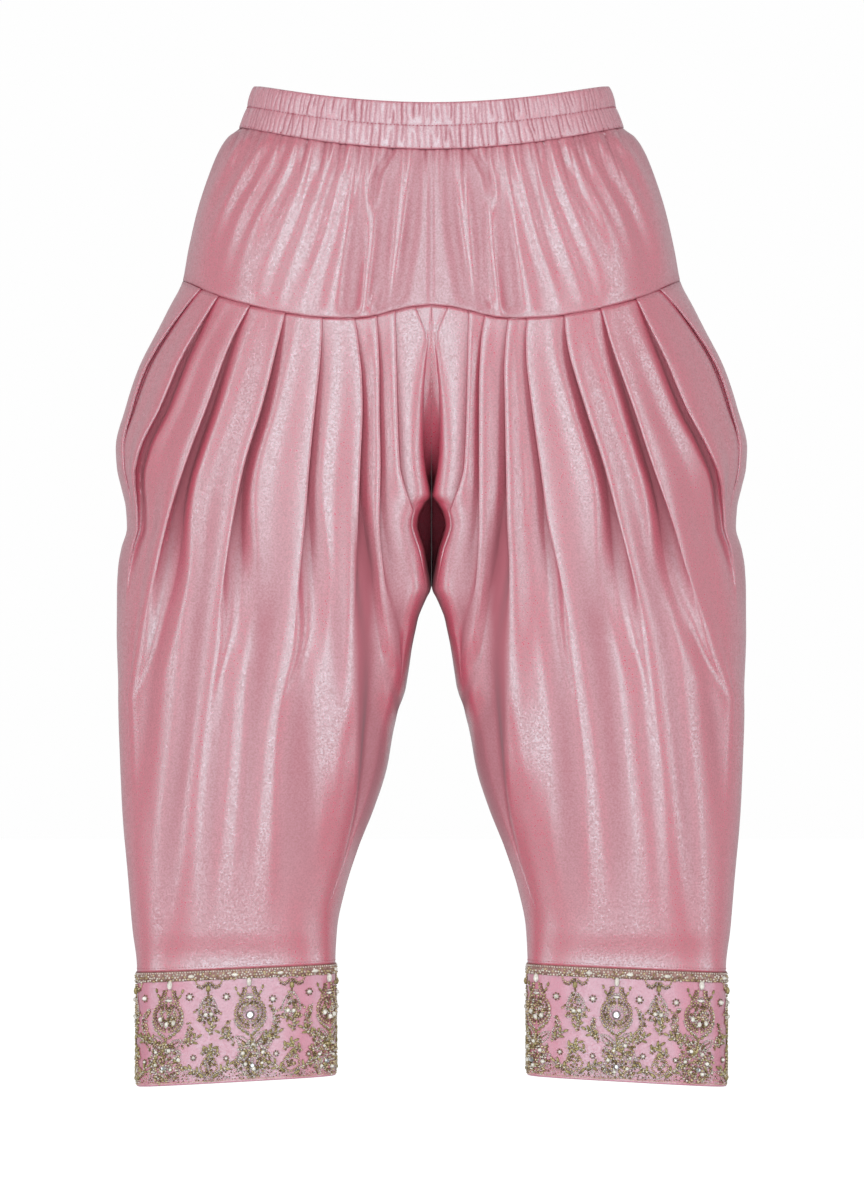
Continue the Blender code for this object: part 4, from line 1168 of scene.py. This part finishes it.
def branch(corners, chance, half=2.9):
    """Curved branch: beads sown about the smooth line through the corners, narrower at its ends."""
    corners = np.array(corners, float)
    share = np.linspace(0.0, 1.0, 40)
    line = [smooth_curve(share, np.linspace(0.0, 1.0, len(corners)), corners[:, axis]) for axis in (0, 1)]
    reach = half * (0.5 + 0.5 * np.sin(np.pi * share))

    def inside(x, y):
        return (np.hypot(x[:, None] - line[0], y[:, None] - line[1]) < reach).any(axis=1)

    return sown(inside, (30, 34), 2.0, chance, (0.35, 0.35), (1.7, 2.2))


def flower(chance):
    """Large ragged flower: densely sown beads with laid leaves, small pearls and a stone."""
    lobes = chance.uniform(0, 2 * np.pi, 2)

    def inside(x, y):
        turn = np.arctan2(y, x)
        reach = 1 + 0.08 * np.cos(5 * turn + lobes[0]) + 0.07 * np.cos(8 * turn + lobes[1])
        return np.hypot(x / 15.5, y / 17.0) < reach

    parts = sown(inside, (18, 19), 2.5, chance, (0.38, 0.36), (2.0, 2.7))
    angles = np.arange(6) * np.pi / 3 + chance.uniform(0, 1.0)
    distance = chance.uniform(7.0, 12.5, 6)
    parts.append(stitch("pearl", np.cos(angles) * distance, np.sin(angles) * distance,
                        chance.uniform(2.2, 3.2, 6)))
    parts.append(stitch("crystal", chance.uniform(-3, 3), 6.0 + chance.uniform(-3, 3), 3.6))
    for turn in chance.uniform(0, 2 * np.pi, 5):
        parts.append(stitch("olive", 9.0 * np.cos(turn), 9.0 * np.sin(turn), 1.8, turn + 0.6))
    return parts


def pomegranate(jewelled, chance):
    """The fruit with its crown, pendant pearl, stem, two long leaves and side branches, centred
    on the fruit."""
    half = [
        bead_row("gold", [(0.8, -11.8), (6, -11), (10.8, -7.2), (12.8, -0.8), (11.4, 5.4), (7, 10.2),
                          (0.8, 13)], 1.9),
        bead_row("bronze", [(0.6, -9.6), (5, -8.9), (8.8, -5.9), (10.6, -0.7), (9.4, 4.3), (5.8, 8.2),
                            (0.6, 10.8)], 1.6),
        bead_row("silver", [(13.8, 3.6), (11.8, 8.6), (7, 13), (1.2, 16.8)], 1.6),
        bead_row("olive", [(11.4, 9.8), (6.6, 14.6), (1.2, 18.8)], 1.7),
        bead_row("gold", [(2.6, -23), (3.2, -18), (5.4, -14.4), (9.2, -11.6)], 1.9),
        bead_row("silver", [(1, -17.4), (1.6, -15), (3.6, -13)], 1.7),
        bead_row("bronze", [(4.8, -22.4), (5.6, -18), (8.4, -14.2)], 1.6),
        bead_row("olive", [(12, -24), (10.4, -19), (8, -15.2)], 1.7),
    ]
    parts = both(half)
    parts.append(stitch("pearl", 0.0, -26.6, 3.7, np.pi / 2, 1.8))
    parts.append(stitch("pearl", 0.0, -13.6, 2.2, 0.0, 1.9))
    if jewelled:
        parts += both([bead_row("gold", [(0.7, -7.6), (4.2, -6.6), (6.6, -3.0), (6.9, 1.2), (5.0, 5.2),
                                        (0.7, 7.0)], 1.8)])
        parts += sown(lambda x, y: (np.hypot(x, y) < 9.6) & (np.hypot(x, y) > 7.6), (10, 10),
                      1.9, chance, (0.4, 0.3), (1.7, 2.1))
        parts += both([bead_row("silver", [(0.6, -5.2), (3.6, -4.0), (4.9, -0.6)], 1.5)])
        parts.append(stitch("crystal", 0.0, 1.4, 6.2))
    else:
        parts += sown(lambda x, y: np.hypot(x, y) < 9.0, (10, 10), 2.2, chance, (0.4, 0.35), (1.9, 2.5))
        parts.append(stitch("pearl", [-5.4, 0.4, 6.2], [5.0, 6.4, 2.4], 3.1, np.pi / 2, 1.3))
        parts.append(bead_row("silver", [(-11.6, -5.4), (-12.9, 0.4), (-10.6, 6.4)], 2.1))
    parts.append(bead_row("olive", [(0, 17.6), (0.4, 22), (1.2, 27), (4, 33)], 1.5))
    parts.append(bead_row("gold", [(1.5, 18.6), (2, 23), (3, 27.5), (5.6, 32.5)], 1.1))
    for place, turn in (((-1.2, 28.0), 218), ((2.6, 27.0), -48)):
        laid = leaf(15.0, 6.6, "silver", 1.3) + [bead_row("bronze", [(2, 0), (7, 0.4), (12, 0)], 1.1)]
        parts += moved(laid, *place, turn=np.radians(turn))
    parts += branch([(17.5, -4.5), (20.8, 1), (22.0, 8), (19.6, 15), (16.4, 21), (15.4, 28)], chance, 3.2)
    parts += branch([(-18.5, 5.5), (-20.0, 12), (-17.0, 19), (-15.0, 25)], chance, 2.9)
    parts += moved(thread_leaves(chance), 9.5, 26.0, turn=np.radians(-58))
    return parts


def thread_leaves(chance):
    """Spray of small leaves in laid metal thread, two to a side along a stem of beads that runs along +x."""
    parts = [bead_row("gold", [(0, 0), (4, -0.6), (8.5, 0.4)], 1.3),
             bead_row("bronze", [(0.6, 1.4), (5, 0.9)], 1.2)]
    for x, angle, reach in ((2.0, -52, 3.2), (4.6, 44, 3.0), (6.6, -38, 3.4), (8.6, 8, 3.4)):
        turn = np.radians(angle + chance.uniform(-9, 9))
        parts.append(stitch("olive", x + reach * np.cos(turn), reach * np.sin(turn), 1.6, turn, 1.15))
        parts.append(stitch("silver", x + 0.2 * reach * np.cos(turn), 0.2 * reach * np.sin(turn), 1.5))
    return parts


def hanging_bud(chance):
    """Bud on a bead stem that hangs from the trim, densely filled, with a ragged fringe under it."""
    parts = [
        bead_row("bronze", [(0, 0), (0.6, 5), (0, 11)], 1.6),
        stitch("olive", 0.2, 5.5, 3.2, np.pi / 2, 0.8),
        stitch("pearl", [-2.6, 1.8], [25.4, 25.8], 2.9),
    ]
    parts += both([
        bead_row("gold", [(1.2, 0.4), (5.6, 3.6), (9, 2.2), (10.6, -1.5)], 1.4),
        bead_row("bronze", [(1.4, 2.4), (5.6, 5.4), (9.6, 3.6)], 1.2),
        bead_row("silver", [(1.2, 11.5), (4.4, 15), (6.8, 21), (7.4, 26)], 1.4)])
    parts += sown(lambda x, y: np.abs(x) < 2.0 + 0.28 * (y - 10), (8, 32), 2.2, chance,
                  (0.35, 0.35), (1.8, 2.4), 11)
    for x, y, turn in ((-10, 25, 2.0), (-8, 30, 1.9), (-3, 33.5, 1.6), (3, 33.5, 1.5), (8, 29.5, 1.1),
                       (10.5, 23.5, 0.5)):
        parts.append(stitch("gold", x, y, 1.7, turn))
        parts.append(stitch("bronze", x * 0.82, y - 1.8, 1.5, turn))
    return parts


def set_stone(width=3.0):
    """Round stone in a cup of laid thread."""
    angles = np.arange(7) * 2 * np.pi / 7
    reach = 0.5 * width + 1.1
    return [stitch("pearl", 0.0, 0.0, width),
            stitch("bronze", np.cos(angles) * reach, np.sin(angles) * reach, 1.1, angles + np.pi / 2)]


def sprig(chance):
    """Upright lozenge of a bud: an outline, a filling of beads and laid leaves at its foot."""
    parts = both([bead_row("gold", [(0, -9), (4.8, -1.5), (6.2, 3.0), (0.4, 9)], 1.5),
                  stitch("olive", 5.6, 8.4, 2.0, -0.65, 1.2), stitch("olive", 1.4, -6.6, 1.6, 1.2)])
    parts += sown(lambda x, y: np.abs(x) / 5.2 + np.abs(y) / 8.2 < 1, (6, 9), 2.1, chance,
                  (0.35, 0.35), (1.7, 2.2))
    return parts


def cuff_design(word, whole):
    """Every bead of one cuff, placed by distance round it and below its top edge."""
    chance = np.random.default_rng(41 if word == "left" else 67)
    front = np.array(POMEGRANATES[word])
    back = front[-1] + (whole - front[-1] + front[0]) * np.arange(1, 4) / 4
    places = np.concatenate([front, back])
    gaps = np.diff(np.append(places, places[0] + whole))
    parts = []
    for number, (place, gap) in enumerate(zip(places, gaps)):
        mirror = 1.0 if number % 2 else -1.0
        parts += moved(pomegranate(number % 2 == 1, chance), place, FRUIT_DROP, mirror,
                       chance.normal(0, 0.03), 1.06)
        parts += moved(flower(chance), place + 3.0 * mirror, FLOWER_DROP, 1.0, 0.0, 1.08)
        middle = place + gap / 2
        parts += moved(hanging_bud(chance), middle, BUD_DROP, mirror, chance.normal(0, 0.05), 1.15)
        parts += moved(set_stone(3.2), middle - 17.0, STONE_DROP + chance.uniform(-3, 3), scale=1.15)
        parts += moved(set_stone(3.0), middle + 16.0, STONE_DROP + chance.uniform(-3, 3), scale=1.15)
        parts += moved(sprig(chance), middle + chance.uniform(-2, 2), SPRIG_DROP, mirror,
                       chance.normal(0, 0.12), 1.2)
        for across, down, side, turn in LEAF_SPRAYS:
            parts += moved(thread_leaves(chance), middle + across, down, side,
                           np.radians(turn + chance.uniform(-8, 8)), 1.25)
        parts += moved(set_stone(2.6), middle - 14.0, 77.0)
        parts += moved(set_stone(2.2), middle + 15.5, 79.0)
        for start in (-0.5, 0.0):
            left = middle + start * gap
            scallop = [(left + gap * s / 2, SCALLOP_DROP - 10.0 * np.sin(np.pi * s) ** 0.8)
                       for s in np.linspace(0, 1, 7)]
            parts.append(bead_row("silver", scallop, 1.3))
            filling = sown(
                lambda x, y, w=gap / 4:
                (y < 0.6) & (y > -8.4 * np.cos(np.clip(x / w, -1, 1) * np.pi / 2) ** 0.8),
                (gap / 4, 9), 2.25, chance, (0.45, 0.2), (1.2, 1.6))
            parts += moved(filling, left + gap / 4, SCALLOP_DROP)
    circle = [(s * whole, 0.0) for s in np.linspace(0, 1, 5)]
    for kind, down, width in BORDER_ROWS:
        parts += moved([bead_row(kind, circle, width)], 0.0, down)
    strip = sown(lambda x, y: y > -2.6, (whole / 2, 2.6), 2.7, chance, (0.62, 0.28), (2.4, 2.9))
    parts += moved(strip, 0.0, STRIP_DROP)
    ovals = np.cumsum(chance.uniform(26, 62, 9))
    parts.append(stitch("pearl", ovals[ovals < whole] - 80.0, 4.4, 3.0, 0.0, 1.7))
    return [(kind, beads[beads[:, 1] < LOWEST_BEAD]) for kind, beads in parts]


def round_bead(sides, rings):
    """Unit bead as corners and triangles: a top point, rings of (radius, height) and a point sunk in
    the cloth."""
    angle = np.arange(sides) * 2 * np.pi / sides
    levels = [np.column_stack([radius * np.cos(angle), radius * np.sin(angle), np.full(sides, height)])
              for radius, height in rings]
    corners = np.concatenate([[[0.0, 0.0, 1.0]], *levels, [[0.0, 0.0, -0.25]]])
    ring = np.arange(sides)
    after = (ring + 1) % sides
    faces = [np.column_stack([np.zeros(sides, int), 1 + ring, 1 + after])]
    for level in range(len(rings) - 1):
        upper, lower = 1 + level * sides, 1 + (level + 1) * sides
        faces.append(np.column_stack([upper + ring, lower + ring, lower + after]))
        faces.append(np.column_stack([upper + ring, lower + after, upper + after]))
    last = 1 + (len(rings) - 1) * sides
    faces.append(np.column_stack([last + ring, np.full(sides, 1 + len(rings) * sides), last + after]))
    return corners, np.concatenate(faces)


def sew_beads(name, side, beads, shape, finish):
    """One joined mesh of all the beads of a kind, bent round the cuff with its cloth."""
    corners, faces = shape
    x, y, length, width, height, angle = (column[:, None] for column in beads.T)
    along, across = corners[:, 0] * length, corners[:, 1] * width
    u = x + along * np.cos(angle) - across * np.sin(angle)
    v = y + along * np.sin(angle) + across * np.cos(angle)
    points = cuff_point(side, u, v, 0.35 + corners[:, 2] * height)
    every = faces + np.arange(len(beads))[:, None, None] * len(corners)
    return add_piece(name, points.reshape(-1, 3), every.reshape(-1, 3), finish)


def bead_finish(name, dark, light, metallic, roughness, spread_mm):
    """Hard bead surface. A noise a few beads wide varies its tone, as in hand-sorted beads."""
    finish, tree, place = blank_finish(name)
    lot = add_node(tree, "ShaderNodeTexNoise", [("Vector", place), ("Scale", 1000 / spread_mm),
        ("Detail", 1.0)])
    spread = add_node(tree, "ShaderNodeMapRange", [
        ("Value", lot.outputs["Fac"]), ("From Min", 0.35), ("From Max", 0.65)])
    tone = add_node(tree, "ShaderNodeMix", [
        ("Factor", spread.outputs["Result"]), (MIX_A, linear(dark)), (MIX_B, linear(light))],
        data_type="RGBA")
    shader = add_node(tree, "ShaderNodeBsdfPrincipled", [
        ("Base Color", tone.outputs[MIX_RESULT]), ("Metallic", metallic), ("Roughness", roughness)])
    add_node(tree, "ShaderNodeOutputMaterial", [("Surface", shader.outputs["BSDF"])])
    return finish


# Silver-lined glass gives a cool spark, champagne and bronze beads a warm glint over their own shade, laid
# thread a dull olive sheen, pearls a soft milky light and foiled stones a hard flash.
BEAD_FINISHES = {
    "silver": bead_finish("silver_lined_glass_bead", "#ADA497", "#E0DAD0", 0.25, 0.3, 2.4),
    "gold": bead_finish("champagne_gold_bead", "#A39069", "#CFBE9C", 0.3, 0.35, 3.0),
    "bronze": bead_finish("antique_bronze_bead", "#6E5D3E", "#957F59", 0.3, 0.4, 3.0),
    "olive": bead_finish("olive_gold_thread", "#80754A", "#A89C6D", 0.2, 0.5, 4.0),
    "pearl": bead_finish("shell_pearl", "#C6C3B8", "#E6E4DC", 0.0, 0.2, 5.0),
    "crystal": bead_finish("foiled_crystal", "#A9AEB2", "#E2E5E8", 0.7, 0.12, 2.0),
}
SEED_BEAD = [(0.5, 0.15)]
BEAD_MESHES = {
    "silver": (6, SEED_BEAD),
    "gold": (6, SEED_BEAD),
    "bronze": (6, SEED_BEAD),
    "olive": (6, [(0.36, 0.75), (0.5, 0.1)]),
    "pearl": (10, [(0.22, 0.93), (0.4, 0.62), (0.5, 0.1)]),
    "crystal": (10, [(0.3, 0.95), (0.5, 0.25)]),
}
for word, side in SIDES:
    whole = cuff_outline(0.0)[3]
    design = cuff_design(word, whole)
    for kind, (sides, rings) in BEAD_MESHES.items():
        beads = np.concatenate([rows for part, rows in design if part == kind])
        name = "cuff_" + word + "_" + kind + "_beads"
        piece = sew_beads(name, side, beads, round_bead(sides, rings), BEAD_FINISHES[kind])
        if kind == "crystal":
            piece.data.shade_flat()


# Bead trims: a strip of woven metal braid sewn over each cuff's top edge, hidden under its rows of beads.
TRIM_DROPS = (-1.0, 7.8)
TRIM_THICKNESS = 1.0
# Woven metal thread: a dull copper brown that only fills the gaps between the beads
braid_finish = bead_finish("metal_braid", "#7C5B55", "#9C7A72", 0.1, 0.6, 3.0)
for word, side in SIDES:
    u = np.linspace(0.0, cuff_outline(0.0)[3], CUFF_COLUMNS, endpoint=False)
    profile = np.array([(TRIM_DROPS[0], 0.1), (TRIM_DROPS[0] + 0.3, TRIM_THICKNESS),
                        (TRIM_DROPS[1] - 0.3, TRIM_THICKNESS), (TRIM_DROPS[1], 0.1)])
    down, out = (column[:, None] * np.ones(u.size) for column in profile.T)
    strip = cuff_point(side, u * np.ones(down.shape), down, out)
    braid = add_tube(
        "cuff_trim_" + word + "_braid", strip, braid_finish, ["cuff_trim_" + word])
